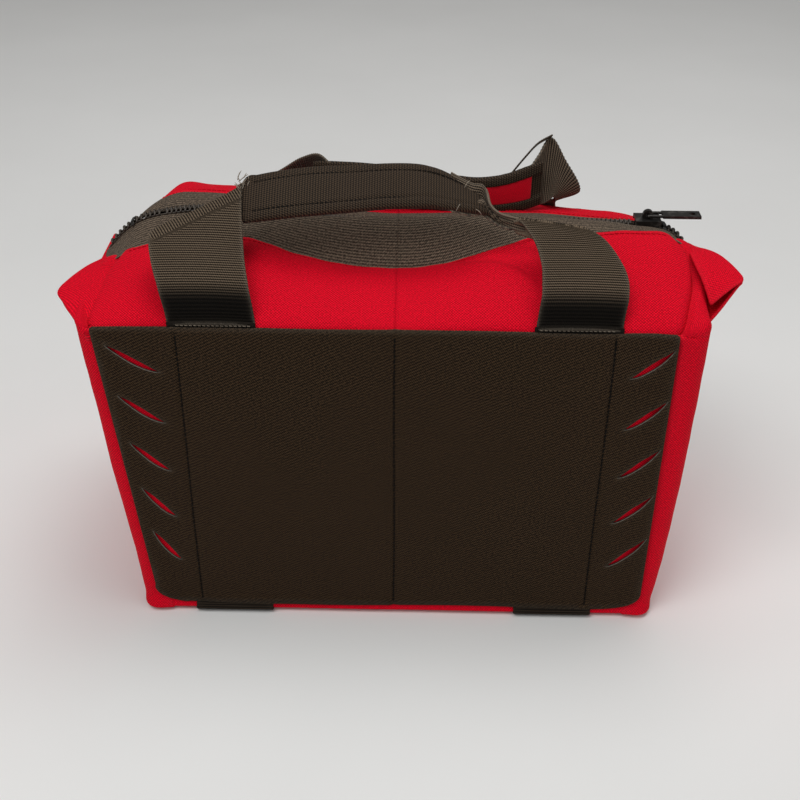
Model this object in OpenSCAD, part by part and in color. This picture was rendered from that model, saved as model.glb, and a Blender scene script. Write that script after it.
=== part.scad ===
// Soft-sided zip-top gear bag: a tapered box body with an overlay of heavy cloth front and
// rear, two webbing straps that run under it, two folded-webbing handles and a coil zip.
// The origin is the centre of the base on the floor, +Z is up, +X is to the right and
// the front faces -Y.

/* [Body] */
// Outer width at the top of the walls
top_w = 374; // [364:1:384]
// Outer width at the floor
base_w = 336; // [326:1:346]
// Outer depth from front wall to rear wall
depth = 190; // [184:1:200]
// Height of the front and rear walls
wall_h = 220; // [212:1:230]
// Thickness of the coated body fabric
fabric_t = 2; // [1.6:0.1:2.2]
// Radius of the rolled vertical edges
roll_r = 7; // [6:0.5:7.5]
// Thickness of the bottom panel
bottom_t = 3.2; // [2.8:0.1:3.6]
// Thickness of the stiff board on the bottom
board_t = 3; // [2:0.5:4]
// Thickness of the foam sheets in the walls
foam_t = 3.5; // [3:0.5:4]

/* [Overlay] */
// Thickness of the overlay cloth where it covers a strap
overlay_t = 1; // [0.8:0.1:1.2]
// Distance of the overlay's side edges from the body's outline
overlay_inset = 13; // [12:0.5:15]
// Slits in each side of an overlay
slit_count = 5; // [3:1:5]
// Length of a slit
slit_len = 32; // [28:1:34]
// Tilt of the slits above the horizontal, rising outwards
slit_tilt = 36; // [24:1:42]
// Greatest width of a slit
slit_w = 2.6; // [2:0.1:3.2]

/* [Top] */
// Height of the zip ridge above the walls
ridge_rise = 25; // [23:1:30]
// Half the length of the part of the top that opens
mouth_half = 150; // [146:1:151]
// Half the width of the zip with its tapes
tape_half = 22; // [20:1:24]
// Opening angle of each half of the mouth, as drawn
mouth_angle = 0; // [0:5:80]

/* [Webbing] */
// Width of the webbing
web_w = 50.8; // [48:0.1:52]
// Thickness of the webbing
web_t = 1.6; // [1.4:0.1:1.8]
// Distance of each strap's middle from the bag's middle
strap_x = 107; // [104:1:110]
// Slope of the handles above the horizontal
handle_slope = 40; // [38:1:44]
// Length of the folded grip
grip_len = 150; // [140:2:154]
// Height of the folded grip
grip_h = 28; // [26:1:30]
// Thickness of the folded grip
grip_t = 8; // [7:0.5:9]

/* [Hidden] */

red = [0.72, 0.04, 0.08];
dark_cloth = [0.13, 0.11, 0.09];
dark_web = [0.22, 0.21, 0.20];
steel = [0.30, 0.30, 0.31];

half_d = depth / 2;
lean = atan((top_w - base_w) / 2 / wall_h);
cover_t = overlay_t + web_t;     // how far an overlay stands off its wall
edge_gap = 3.5;                  // from the top of a wall to the mouth's hinge line
end_gap = 1.5;                   // between a flap and a fixed end of the top
wall_top = wall_h - edge_gap;
ridge_z = wall_h + ridge_rise;

// The zip: tape, coil rows on it, and the flat run at each end where the slider parks
tape_t = 1.2;
tape_z = ridge_z - tape_t - 0.2;
row_in = 0.6;                    // from the middle to the inner side of a coil row
row_w = 4;
row_h = 2.6;
row_z = tape_z + tape_t;
flat_end = 172;                  // where the top starts to fall towards an end
park_x = 158;                    // the slider's middle when the zip is closed
fall_z = 228;                    // how low the zip tape reaches on an end
end_z = 222;                     // where the falling top meets the end panel
end_x = top_w / 2;

// The slider
plate_len = 16;
plate_w = 13.6;
plate_t = 1.5;
plate_gap = 0.5;                 // from a coil row to the top plate
pivot_z = row_z + row_h + plate_gap + plate_t + 1.9;

// The handles turn about a line just outside the mouth's hinge line
hinge_y = half_d + 1.5;
hinge_z = wall_h + 3;
strap_root = 2;
grip_root = 77;                  // from the hinge line to the lower edge of the grip
lining_t = 1.2;
lining_w = 12;

function half_w(z) = base_w / 2 + z * tan(lean);

// Puts its children at the rear, by mirroring them
module at_rear() { mirror([0, 1, 0]) children(); }

// Puts its children at the left, by mirroring them
module at_left() { mirror([1, 0, 0]) children(); }

// A bar along X with the outline of its end given in Y and Z
module bar_x(x0, x1, outline) {
    translate([x0, 0, 0]) rotate([90, 0, 90]) linear_extrude(x1 - x0) polygon(outline);
}

// A bar along Y with the outline of its end given in X and Z
module bar_y(y0, y1, outline) {
    translate([0, y1, 0]) rotate([90, 0, 0]) linear_extrude(y1 - y0) polygon(outline);
}

// A plate parallel to the front wall that tapers with the body
module taper_plate(y0, y1, z0, z1, inset) {
    bar_y(y0, y1, [[-half_w(z0) + inset, z0], [half_w(z0) - inset, z0],
        [half_w(z1) - inset, z1], [-half_w(z1) + inset, z1]]);
}

module box(x, y, z) {
    translate([x[0], y[0], z[0]]) cube([x[1] - x[0], y[1] - y[0], z[1] - z[0]]);
}

// ---- Body ----

module bottom_panel() {
    side = base_w / 2 - 2 * roll_r - 0.5;
    end = base_w / 2 - fabric_t - 0.1;
    between_rolls = half_d - 2 * roll_r - 0.5;
    color(red) difference() {
        union() {
            box([-side, side], [-half_d + fabric_t, half_d - fabric_t], [0, bottom_t]);
            box([-end, end], [-between_rolls, between_rolls], [0, bottom_t]);
        }
        for (s = [-1, 1])
            translate([s * strap_x, 0, web_t / 2])
                cube([web_w + 1, depth, web_t + 0.2], center = true);
    }
}

module base_board() {
    side = base_w / 2 - 2 * roll_r - 2;
    end = half_d - fabric_t - foam_t - 1;
    color("dimgray") box([-side, side], [-end, end], [bottom_t + 0.1, bottom_t + 0.1 + board_t]);
}

// A front or rear wall, with its foot notched where the girth straps turn under it
module wall() {
    color(red) difference() {
        taper_plate(-half_d, -half_d + fabric_t, 0, wall_top, 2 * roll_r - 1.8);
        for (s = [-1, 1])
            translate([s * strap_x, -half_d, 0])
                cube([web_w + 1, 4 * fabric_t, 2 * web_t + 0.2], center = true);
    }
}

module front_wall() { wall(); }

module rear_wall() { at_rear() wall(); }

module foam() {
    y = -half_d + fabric_t + 0.1;
    below_top = 8;
    beside_roll = 3;
    color("gray") taper_plate(y, y + foam_t, bottom_t + 0.2, wall_top - below_top,
        2 * roll_r + beside_roll);
}

module front_foam() { foam(); }

module rear_foam() { at_rear() foam(); }

// An end wall leans outwards and wraps round both corners as a roll
module end_panel() {
    roll_y = half_d - roll_r;
    spare = 20;                  // beyond each end, cut off level below
    color(red) intersection() {
        translate([base_w / 2, 0, 0]) rotate([0, lean, 0]) translate([0, 0, -spare])
            linear_extrude(wall_h + 2 * spare) {
                translate([-fabric_t, -roll_y]) square([fabric_t, 2 * roll_y]);
                for (s = [-1, 1])
                    translate([-roll_r, s * roll_y]) circle(r = roll_r, $fn = 48);
            }
        box([0, top_w], [-depth, depth], [0, wall_top]);
    }
}

module left_end_panel() { at_left() end_panel(); }

module right_end_panel() { end_panel(); }

// Binding tape over the raw seams inside: up both corners and across the bottom
module seam_binding() {
    tape = 1;
    run = 9;
    corner_y = half_d - fabric_t - foam_t - 1.5;
    seam_y = half_d - 2 * roll_r - 2;
    floor_z = bottom_t + 0.2;
    color(dark_cloth) {
        intersection() {
            translate([base_w / 2, 0, 0]) rotate([0, lean, 0])
                for (s = [-1, 1])
                    translate([-2 * roll_r - 2, s * (corner_y - run / 2), wall_h / 2])
                        cube([tape, run, 2 * wall_h], center = true);
            box([0, top_w], [-depth, depth], [floor_z + board_t + 0.3, wall_top - 6]);
        }
        box([base_w / 2 - 4 - run, base_w / 2 - 4], [-seam_y, seam_y],
            [floor_z, floor_z + tape]);
    }
}

module left_seam_binding() { at_left() seam_binding(); }

module right_seam_binding() { seam_binding(); }

// ---- Overlay and girth straps ----

// One curved slit: the lens where two large circles overlap
module slit() {
    arc_r = (slit_len * slit_len / 4 + slit_w * slit_w / 4) / slit_w;
    rotate([90, 0, 0]) linear_extrude(4 * cover_t, center = true) intersection() {
        translate([0, arc_r - slit_w / 2]) circle(r = arc_r, $fn = 96);
        translate([0, slit_w / 2 - arc_r]) circle(r = arc_r, $fn = 96);
    }
}

module overlay() {
    low = 4;
    high = wall_top - 0.5;
    pitch = 36;
    slit_top = high - pitch / 2;
    slit_inset = 17;             // from the overlay's side edge to the middle of a slit
    color(dark_cloth) difference() {
        taper_plate(-half_d - cover_t, -half_d, low, high, overlay_inset);
        for (s = [-1, 1]) {
            translate([s * strap_x, -half_d, high / 2])
                cube([web_w + 1, 2 * web_t, wall_h], center = true);
            for (i = [0 : slit_count - 1])
                translate([s * (half_w(slit_top - i * pitch) - overlay_inset - slit_inset),
                    -half_d - cover_t, slit_top - i * pitch])
                    rotate([0, -s * slit_tilt, 0]) slit();
        }
    }
}

module front_overlay() { overlay(); }

module rear_overlay() { at_rear() overlay(); }

// A girth strap: up the front, under the bottom and up the rear, in the overlays' channels
module girth_strap() {
    x = [strap_x - web_w / 2, strap_x + web_w / 2];
    out = half_d + web_t;
    color(dark_web) {
        box(x, [-out, out], [0, web_t]);
        box(x, [-out, -half_d], [web_t, wall_top]);
        box(x, [half_d, out], [web_t, wall_top]);
    }
}

module left_girth_strap() { at_left() girth_strap(); }

module right_girth_strap() { girth_strap(); }

// ---- Top ----

// The solid under one end of the top, lowered by a skin's thickness
module top_end_block(skin) {
    x_in = mouth_half + end_gap;
    foot_z = wall_top + 0.5 - 2 * skin;
    intersection() {
        bar_x(x_in - skin, top_w, [[-half_d + skin, foot_z],
            [-half_d + skin, wall_h - skin], [-tape_half, ridge_z - skin],
            [tape_half, ridge_z - skin], [half_d - skin, wall_h - skin],
            [half_d - skin, foot_z]]);
        bar_y(-depth, depth, [[x_in - skin, foot_z],
            [end_x - skin, foot_z], [end_x - skin, end_z - skin],
            [flat_end - skin / 2, ridge_z - skin], [x_in - skin, ridge_z - skin]]);
    }
}

module top_end() {
    color(red) difference() {
        top_end_block(0);
        top_end_block(fabric_t);
        box([mouth_half, top_w], [-tape_half, tape_half], [fall_z, ridge_z + 1]);
    }
}

module left_top_end() { at_left() top_end(); }

module right_top_end() { top_end(); }

// The folded corner of cloth that stands out from the end near the front
module ear() {
    droop = 18;
    color(red) translate([end_x + 0.6, 0, end_z + 2]) rotate([0, droop, 0])
        linear_extrude(4) polygon([[0, -half_d + 4], [17, -half_d + 44], [0, -8]]);
}

module left_ear() { at_left() ear(); }

module right_ear() { ear(); }

module coil_row(x0, x1) {
    bar_x(x0, x1, [[-row_in - row_w, row_z], [-row_in, row_z],
        [-row_in, row_z + row_h], [-row_in - row_w, row_z + row_h]]);
}

// The fixed end of the zip: tape over the flat and down the end, with both coil rows.
// The tape is slit between the rows as far as the slider can go.
module zip_end() {
    x_in = mouth_half + end_gap;
    fall = (end_x - flat_end) / (ridge_z - end_z);
    low_x = flat_end + (ridge_z - fall_z) * fall;
    row_end = flat_end - 5;
    color(dark_web) {
        difference() {
            bar_y(-tape_half + 0.2, tape_half - 0.2, [[x_in, tape_z], [x_in, tape_z + tape_t],
                [flat_end, tape_z + tape_t], [low_x, fall_z + 0.4],
                [low_x - tape_t, fall_z + 0.4], [flat_end - tape_t, tape_z]]);
            box([mouth_half, row_end], [-row_in, row_in], [tape_z - 1, ridge_z]);
        }
        coil_row(x_in, row_end);
        at_rear() coil_row(x_in, row_end);
    }
}

module left_zip_end() { at_left() zip_end(); }

module right_zip_end() { zip_end(); }

// A metal staple over both rows where the slider must stop
module zip_stop() {
    side = row_in + row_w + 0.8;
    color(steel) box([flat_end - 4.8, flat_end - 2.8], [-side, side],
        [row_z, row_z + row_h + 0.8]);
}

module left_zip_stop() { at_left() zip_stop(); }

module right_zip_stop() { zip_stop(); }

// Turns its children about the front edge of the mouth
module opened() {
    translate([0, -half_d, wall_h]) rotate([mouth_angle, 0, 0])
        translate([0, half_d, -wall_h]) children();
}

module top_panel() {
    color(red) opened() bar_x(-mouth_half, mouth_half, [[-half_d, wall_h],
        [-tape_half, ridge_z], [-tape_half, ridge_z - fabric_t], [-half_d, wall_h - fabric_t]]);
}

module zip_tape() {
    edge = row_in + row_w / 2;
    color(dark_web) opened() box([-mouth_half, mouth_half], [-tape_half, -edge],
        [tape_z, tape_z + tape_t]);
}

module zip_coil() { color("black") opened() coil_row(-mouth_half, mouth_half); }

module front_top_panel() { top_panel(); }

module front_zip_tape() { zip_tape(); }

module front_zip_coil() { zip_coil(); }

module rear_top_panel() { at_rear() top_panel(); }

module rear_zip_tape() { at_rear() zip_tape(); }

module rear_zip_coil() { at_rear() zip_coil(); }

// ---- Slider and puller ----

// Two plates joined by a divider that runs between the coil rows, and a loop for the puller
module zip_slider() {
    z_top = row_z + row_h + plate_gap;
    z_low = tape_z - plate_gap - plate_t;
    flange = plate_w / 2 - row_in - row_w - 0.6;
    loop_r = 3.3;
    color(steel) translate([park_x, 0, 0]) {
        for (z = [z_low, z_top])
            translate([0, 0, z + plate_t / 2])
                cube([plate_len, plate_w, plate_t], center = true);
        translate([-plate_len / 2, -0.3, z_low + plate_t / 2])
            cube([5, 0.6, z_top - z_low]);
        for (s = [-1, 1])
            translate([0, s * (plate_w - flange) / 2, z_top - 0.7])
                cube([plate_len, flange, 1.8], center = true);
        difference() {
            union() {
                translate([0, 0, pivot_z]) rotate([90, 0, 0])
                    cylinder(h = 3, r = loop_r, center = true, $fn = 48);
                translate([0, 0, z_top + plate_t]) cube([2 * loop_r, 3, 2], center = true);
            }
            translate([0, 0, pivot_z]) rotate([90, 0, 0])
                cylinder(h = 4, r = 1.5, center = true, $fn = 48);
        }
    }
}

// A wire stirrup through the slider's loop that carries a flat tab
module zip_puller() {
    wire_r = 1;
    arm_y = 2.9;
    arm = 9;
    tab = [24, 9, 1.8];
    color(steel) translate([park_x, 0, pivot_z]) {
        rotate([90, 0, 0]) cylinder(h = 2 * arm_y, r = wire_r, center = true, $fn = 32);
        for (s = [-1, 1])
            translate([0, s * arm_y, 0]) {
                rotate([0, 90, 0]) cylinder(h = arm, r = wire_r, $fn = 32);
                sphere(r = wire_r, $fn = 32);
            }
        difference() {
            translate([arm, -tab[1] / 2, -tab[2] / 2]) cube(tab);
            translate([arm + tab[0] - 5, 0, 0])
                cylinder(h = 2 * tab[2], r = 2, center = true, $fn = 48);
        }
    }
}

// ---- Handles ----

// Lays its children, drawn in X and along the handle, in the handle's sloping plane
module in_handle_plane() {
    opened() translate([0, -hinge_y, hinge_z]) rotate([handle_slope, 0, 0]) children();
}

// One leg of a handle: flat webbing that folds over at the top and runs into the grip
module strap() {
    outer = strap_x + web_w / 2;
    inner = strap_x - web_w / 2;
    grip_end = grip_len / 2 + 0.2;
    color(dark_web) in_handle_plane() translate([0, 0, -web_t / 2]) linear_extrude(web_t)
        polygon([[outer, strap_root], [inner, strap_root], [inner, grip_root - 4],
            [grip_end, grip_root + 2], [grip_end, grip_root + grip_h - 2],
            [inner, grip_root + 16], [outer, grip_root - 13]]);
}

// The grip: webbing folded to half its width, with a channel on its under face
module grip() {
    r = grip_t / 2;
    color(dark_web) in_handle_plane() difference() {
        bar_x(-grip_len / 2, grip_len / 2, [[grip_root + r, -r], [grip_root + grip_h - r, -r],
            [grip_root + grip_h - r, r], [grip_root + r, r]]);
        translate([-grip_len, grip_root + (grip_h - lining_w) / 2, -r - 1])
            cube([2 * grip_len, lining_w, 1 + lining_t + 0.1]);
    }
    color(dark_web) in_handle_plane() for (s = [grip_root + r, grip_root + grip_h - r])
        translate([0, s, 0]) rotate([0, 90, 0])
            cylinder(h = grip_len, r = r, center = true, $fn = 48);
}

module grip_lining() {
    color(red) in_handle_plane()
        translate([-grip_len / 2 + 1, grip_root + (grip_h - lining_w) / 2 + 0.2, -grip_t / 2])
            cube([grip_len - 2, lining_w - 0.4, lining_t]);
}

module front_left_strap() { at_left() strap(); }

module front_right_strap() { strap(); }

module front_grip() { grip(); }

module front_grip_lining() { grip_lining(); }

module rear_left_strap() { at_rear() at_left() strap(); }

module rear_right_strap() { at_rear() strap(); }

module rear_grip() { at_rear() grip(); }

module rear_grip_lining() { at_rear() grip_lining(); }

bottom_panel();
base_board();
front_wall();
rear_wall();
front_foam();
rear_foam();
left_end_panel();
right_end_panel();
left_seam_binding();
right_seam_binding();
front_overlay();
rear_overlay();
left_girth_strap();
right_girth_strap();
left_top_end();
right_top_end();
left_ear();
right_ear();
left_zip_end();
right_zip_end();
left_zip_stop();
right_zip_stop();
front_top_panel();
front_zip_tape();
front_zip_coil();
rear_top_panel();
rear_zip_tape();
rear_zip_coil();
zip_slider();
zip_puller();
front_left_strap();
front_right_strap();
front_grip();
front_grip_lining();
rear_left_strap();
rear_right_strap();
rear_grip();
rear_grip_lining();
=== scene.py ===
"""Zip-top gear bag: soft pieces, webbing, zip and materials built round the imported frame.

Lengths are in millimetres until make() turns them into metres. +X is right, the front faces -Y.
"""

import math
import random

import bpy
import numpy as np
from mathutils import Matrix, Vector, geometry, noise


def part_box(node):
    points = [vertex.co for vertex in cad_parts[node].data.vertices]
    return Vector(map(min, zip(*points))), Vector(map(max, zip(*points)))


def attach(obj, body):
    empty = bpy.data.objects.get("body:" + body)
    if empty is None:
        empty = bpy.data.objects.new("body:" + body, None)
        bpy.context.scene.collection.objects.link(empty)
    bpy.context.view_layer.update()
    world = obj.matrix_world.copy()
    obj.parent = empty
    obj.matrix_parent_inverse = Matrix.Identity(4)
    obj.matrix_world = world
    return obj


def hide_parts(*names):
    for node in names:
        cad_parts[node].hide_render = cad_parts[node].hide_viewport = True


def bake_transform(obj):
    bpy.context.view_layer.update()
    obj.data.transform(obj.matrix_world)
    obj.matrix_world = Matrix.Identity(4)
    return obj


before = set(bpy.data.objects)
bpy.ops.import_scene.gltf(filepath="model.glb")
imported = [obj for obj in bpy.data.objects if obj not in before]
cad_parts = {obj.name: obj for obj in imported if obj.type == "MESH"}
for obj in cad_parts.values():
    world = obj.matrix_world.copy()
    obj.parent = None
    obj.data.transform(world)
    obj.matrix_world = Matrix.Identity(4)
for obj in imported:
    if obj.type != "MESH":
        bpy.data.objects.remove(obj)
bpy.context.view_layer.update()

MM = 0.001
random.seed(7)


def place(node):
    """Lowest and highest corner of a CAD node in millimetres."""
    low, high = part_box(node)
    return np.array(low) / MM, np.array(high) / MM


# ---- Driving sizes, from the frame -------------------------------------------------------------

WALL_TOP = place("front_wall")[1][2]
HALF_DEPTH = -place("front_wall")[0][1]
TOP_HALF = -place("left_end_panel")[0][0]
BASE_HALF = -place("bottom_panel")[0][0]
WEB_IN, WEB_OUT = 81.6, 132.4      # edges of every strap, from the middle
MOUTH_HALF = place("front_top_panel")[1][0]
INSIDE = np.array([0.0, 0.0, 110.0])
# The hinge line of both handles, and the slope at which they lie over the top
HANDLE_Y, HANDLE_Z, HANDLE_SLOPE = 96.5, 223.0, math.radians(40)

CLOTH = 1.8        # thickness of the body cloth
WEBBING = 1.7      # thickness of the webbing
RIB = 1.6          # distance between the ribs of the webbing
YARN = 1.3         # distance between the fine yarns that run along it
CORNER = 10.0      # radius of the rolled corners
FOOT = 3.6         # radius of the lower edge
BASE_Z = 0.9       # underside of the cloth, clear of the straps on the floor

FRONT, REAR = -1, 1
LEFT, RIGHT = -1, 1
WORD = {FRONT: "front", REAR: "rear"}
HAND = {LEFT: "left", RIGHT: "right"}


# ---- Small maths -------------------------------------------------------------------------------


def curve(x, stops):
    """A smooth line through (place, value) stops, level with its ends beyond them."""
    xs = np.array([s[0] for s in stops], float)
    vs = np.array([s[1] for s in stops], float)
    x = np.clip(np.asarray(x, float), xs[0], xs[-1])
    steps = np.diff(xs)
    slopes = (np.diff(vs, axis=0).T / steps).T
    tangent = np.empty_like(vs)
    tangent[0], tangent[-1] = slopes[0], slopes[-1]
    for i in range(1, len(xs) - 1):
        a, b = slopes[i - 1], slopes[i]
        mean = (a * steps[i] + b * steps[i - 1]) / (steps[i] + steps[i - 1])
        tangent[i] = np.where(a * b > 0, mean, 0)
    k = np.clip(np.searchsorted(xs, x, side="right") - 1, 0, len(xs) - 2)
    t = (x - xs[k]) / steps[k]
    h = steps[k]
    if vs.ndim > 1:
        t, h = t[..., None], h[..., None]
    a, b = t * t * (3 - 2 * t), t * (1 - t)
    return vs[k] * (1 - a) + vs[k + 1] * a + b * h * ((1 - t) * tangent[k] - t * tangent[k + 1])


def smooth(edge0, edge1, x):
    """0 before edge0, 1 after edge1, easing between."""
    t = np.clip((np.asarray(x, float) - edge0) / (edge1 - edge0), 0, 1)
    return t * t * (3 - 2 * t)


def bump(x, centre, width):
    """A soft hill of height 1."""
    return np.exp(-(((np.asarray(x, float) - centre) / width) ** 2))


def ribbed(run):
    """Height of the webbing's ribs at a distance along it, from -1 to 1."""
    return np.cos(2 * math.pi * run / RIB)


def wrinkle(points, size, seed):
    """Even random swells, from -1 to 1, of about that size in millimetres."""
    flat = points.reshape(-1, 3) / size
    shift = Vector((seed * 17.3, seed * 5.9, seed * 11.7))
    values = [noise.noise(Vector(p) + shift) for p in flat]
    return np.array(values).reshape(points.shape[:-1])


def bezier(p0, p1, p2, p3, t):
    """Points at t, from 0 to 1, of cubic curves."""
    t = t[..., None]
    return (1 - t) ** 3 * p0 + 3 * (1 - t) ** 2 * t * p1 + 3 * (1 - t) * t * t * p2 + t**3 * p3


def normals_of(points):
    """Unit normals of a grid of points."""
    du, dv = np.gradient(points, axis=0), np.gradient(points, axis=1)
    n = np.cross(du, dv)
    return n / (np.linalg.norm(n, axis=2, keepdims=True) + 1e-9)


def facing(points, away_from):
    """Unit normals of a grid, on the side that looks away from a point."""
    n = normals_of(points)
    sign = np.sign(((points - away_from) * n).sum(axis=2).mean())
    return n * (sign or 1)


def lengths(points, axis):
    """Distance run along one axis of a grid, in millimetres."""
    step = np.linalg.norm(np.diff(points, axis=axis), axis=2)
    run = np.cumsum(step, axis=axis)
    zero = np.zeros_like(np.take(run, [0], axis=axis))
    return np.concatenate([zero, run], axis=axis)


# ---- Mesh making -------------------------------------------------------------------------------


def make(name, verts, faces, flat, material, edge=None, shade=True):
    """A mesh object from millimetre points; flat is each point's place on the cut cloth."""
    mesh = bpy.data.meshes.new(name)
    mesh.from_pydata((np.asarray(verts, float) * MM).tolist(), [], [list(f) for f in faces])
    mesh.update()
    layer = mesh.uv_layers.new(name="Cloth")
    corners = np.empty(len(mesh.loops), np.int32)
    mesh.loops.foreach_get("vertex_index", corners)
    layer.data.foreach_set("uv", np.asarray(flat, np.float32)[corners].ravel())
    worn = mesh.attributes.new("edge", "FLOAT", "POINT")
    near = np.zeros(len(verts)) if edge is None else edge
    worn.data.foreach_set("value", np.asarray(near, np.float32))
    mesh.polygons.foreach_set("use_smooth", [shade] * len(mesh.polygons))
    mesh.materials.append(material)
    obj = bpy.data.objects.new(name, mesh)
    bpy.context.scene.collection.objects.link(obj)
    return obj


def settle(piece, slot, body, *nodes):
    """Hides the CAD nodes a piece stands for and hangs it on its body; slot is not used."""
    if nodes:
        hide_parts(*nodes)
    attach(piece, body)


def rim_of(rows, cols):
    """Grid places round the border, in order."""
    loop = [(i, 0) for i in range(rows)] + [(rows - 1, j) for j in range(1, cols)]
    loop += [(i, cols - 1) for i in range(rows - 2, -1, -1)] + [(0, j) for j in range(cols - 2, 0, -1)]
    return loop


def skin(name, points, thick, away_from, material, flat=None, seam=3.0, swell=0.45, joined=()):
    """A closed sheet of cloth whose outer face is a grid of points, with a rounded edge all round.

    joined lists the columns (0 or -1) where the sheet runs on as another piece, without an edge.
    """
    points = np.asarray(points, float)
    rows, cols = points.shape[:2]
    if flat is None:
        flat = np.stack([lengths(points, 0), lengths(points, 1)], axis=2)
    n = normals_of(points)
    turned = ((points - away_from) * n).sum() < 0
    n = -n if turned else n
    inner = points - n * thick
    loop = rim_of(rows, cols)
    plain = {j % cols for j in joined}
    middle = []
    for i, j in loop:
        k = (min(max(i, 1), rows - 2), min(max(j, 1), cols - 2))
        out = points[i, j] - points[k]
        out = out / (np.linalg.norm(out) + 1e-9) * (0 if j in plain else 1)
        middle.append((points[i, j] + inner[i, j]) / 2 + out * thick * swell)
    count = rows * cols
    verts = np.concatenate([points.reshape(-1, 3), inner.reshape(-1, 3), np.array(middle)])
    uv = np.concatenate([flat.reshape(-1, 2)] * 2 + [np.array([flat[p] for p in loop])])
    index = np.arange(count).reshape(rows, cols)
    a, b, c, d = index[:-1, :-1], index[1:, :-1], index[1:, 1:], index[:-1, 1:]
    outer = np.stack([a, b, c, d], axis=2).reshape(-1, 4)
    faces = np.concatenate([outer, outer[:, ::-1] + count]).tolist()
    ring = len(loop)
    for k in range(ring):
        p, q = index[loop[k]], index[loop[(k + 1) % ring]]
        m0, m1 = 2 * count + k, 2 * count + (k + 1) % ring
        faces.append([q, p, m0, m1])
        faces.append([m1, m0, p + count, q + count])
    if turned:
        faces = [f[::-1] for f in faces]
    u, v = lengths(points, 0), lengths(points, 1)
    gap = np.minimum(u, u[-1:] - u)
    if 0 not in plain:
        gap = np.minimum(gap, v)
    if cols - 1 not in plain:
        gap = np.minimum(gap, v[:, -1:] - v)
    near = np.exp(-gap / seam)
    worn = np.concatenate([near.ravel(), near.ravel(), np.ones(ring)])
    piece = make(name, verts, faces, uv, material, worn)
    first = len(faces) - 2 * ring
    for k, (i, j) in enumerate(loop):
        if j in plain and loop[(k + 1) % ring][1] == j:
            for face in (first + 2 * k, first + 2 * k + 1):
                piece.data.polygons[face].use_smooth = False
    return piece


def plate(name, outline, holes, spare, lift, thick, outward, material):
    """Cut cloth with real holes: an outline and holes in (x, z), lifted onto a surface by lift()."""
    loops = [outline] + holes
    points, edges = [], []
    for loop in loops:
        first = len(points)
        points += [Vector(p) for p in loop]
        edges += [(first + k, first + (k + 1) % len(loop)) for k in range(len(loop))]

    def inside(loop, q):
        """Which points lie inside a closed loop."""
        x, z = q[:, 0], q[:, 1]
        hit = np.zeros(len(q), bool)
        for (x0, z0), (x1, z1) in zip(loop, loop[1:] + loop[:1], strict=True):
            cross = (z0 > z) != (z1 > z)
            at = x0 + (z - z0) * (x1 - x0) / ((z1 - z0) or 1e-9)
            hit ^= cross & (x < at)
        return hit

    border = np.array([tuple(p) for p in points])
    spare = np.asarray(spare, float)
    keep = inside(outline, spare)
    for hole in holes:
        keep &= ~inside(hole, spare)
    for k, p in enumerate(spare):
        if keep[k]:
            keep[k] = np.min(np.hypot(*(border - p).T)) > 0.7
    points += [Vector(p) for p in spare[keep]]
    made = geometry.delaunay_2d_cdt(points, edges, [], 0, 1e-5)
    flat = np.array([tuple(v) for v in made[0]])
    tris = np.array(made[2])
    middle = flat[tris].mean(axis=1)
    good = inside(outline, middle)
    for hole in holes:
        good &= ~inside(hole, middle)
    tris = tris[good]
    face = lift(flat[:, 0], flat[:, 1])
    back = face.copy()
    back[:, 1] -= outward * thick
    a, b, c = flat[tris[:, 0]], flat[tris[:, 1]], flat[tris[:, 2]]
    turn = (b[:, 0] - a[:, 0]) * (c[:, 1] - a[:, 1]) - (b[:, 1] - a[:, 1]) * (c[:, 0] - a[:, 0])
    wrong = turn * outward > 0
    tris[wrong] = tris[wrong][:, ::-1]
    count = len(flat)
    faces = tris.tolist() + (tris[:, ::-1] + count).tolist()
    used = dict.fromkeys((p, q) for t in tris.tolist() for p, q in zip(t, t[1:] + t[:1], strict=True))
    rim = [e for e in used if e[::-1] not in used]
    faces += [[q, p, p + count, q + count] for p, q in rim]
    near = np.zeros(count)
    at_rim = np.array(sorted({p for e in rim for p in e}))
    for k in range(0, count, 512):
        block = flat[k : k + 512]
        gap = np.hypot(*(block[:, None, :] - flat[at_rim][None, :, :]).transpose(2, 0, 1)).min(axis=1)
        near[k : k + 512] = np.exp(-gap / 1.2)
    verts = np.concatenate([face, back])
    return make(name, verts, faces, np.concatenate([flat, flat]), material, np.concatenate([near, near]))


class Strands:
    """Many small round strands, such as stitches, teeth or loose threads, in one mesh."""

    def __init__(self, sides=6):
        self.sides, self.verts, self.faces, self.flat = sides, [], [], []

    def add(self, path, radius, flatten=None):
        path = np.asarray(path, float)
        radius = np.broadcast_to(np.asarray(radius, float), len(path))
        along = np.gradient(path, axis=0)
        along /= np.linalg.norm(along, axis=1, keepdims=True) + 1e-9
        side = np.cross(along[0], flatten if flatten is not None else (0.31, 0.17, 0.93))
        side /= np.linalg.norm(side) + 1e-9
        first = len(self.verts)
        for k, p in enumerate(path):
            side = side - along[k] * (side @ along[k])
            side /= np.linalg.norm(side) + 1e-9
            other = np.cross(along[k], side)
            for s in range(self.sides):
                a = 2 * math.pi * s / self.sides
                self.verts.append(p + radius[k] * (math.cos(a) * side + math.sin(a) * other))
                self.flat.append((s * radius[k], k))
        for k in range(len(path) - 1):
            for s in range(self.sides):
                t = (s + 1) % self.sides
                p, q = first + k * self.sides, first + (k + 1) * self.sides
                self.faces.append([p + s, p + t, q + t, q + s])
        last = first + (len(path) - 1) * self.sides
        self.faces.append(list(range(first + self.sides - 1, first - 1, -1)))
        self.faces.append(list(range(last, last + self.sides)))

    def build(self, name, material):
        return make(name, self.verts, self.faces, self.flat, material)


def run_of(path):
    """Distance run at each point of a path."""
    return np.concatenate([[0], np.cumsum(np.linalg.norm(np.diff(path, axis=0), axis=1))])


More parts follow.
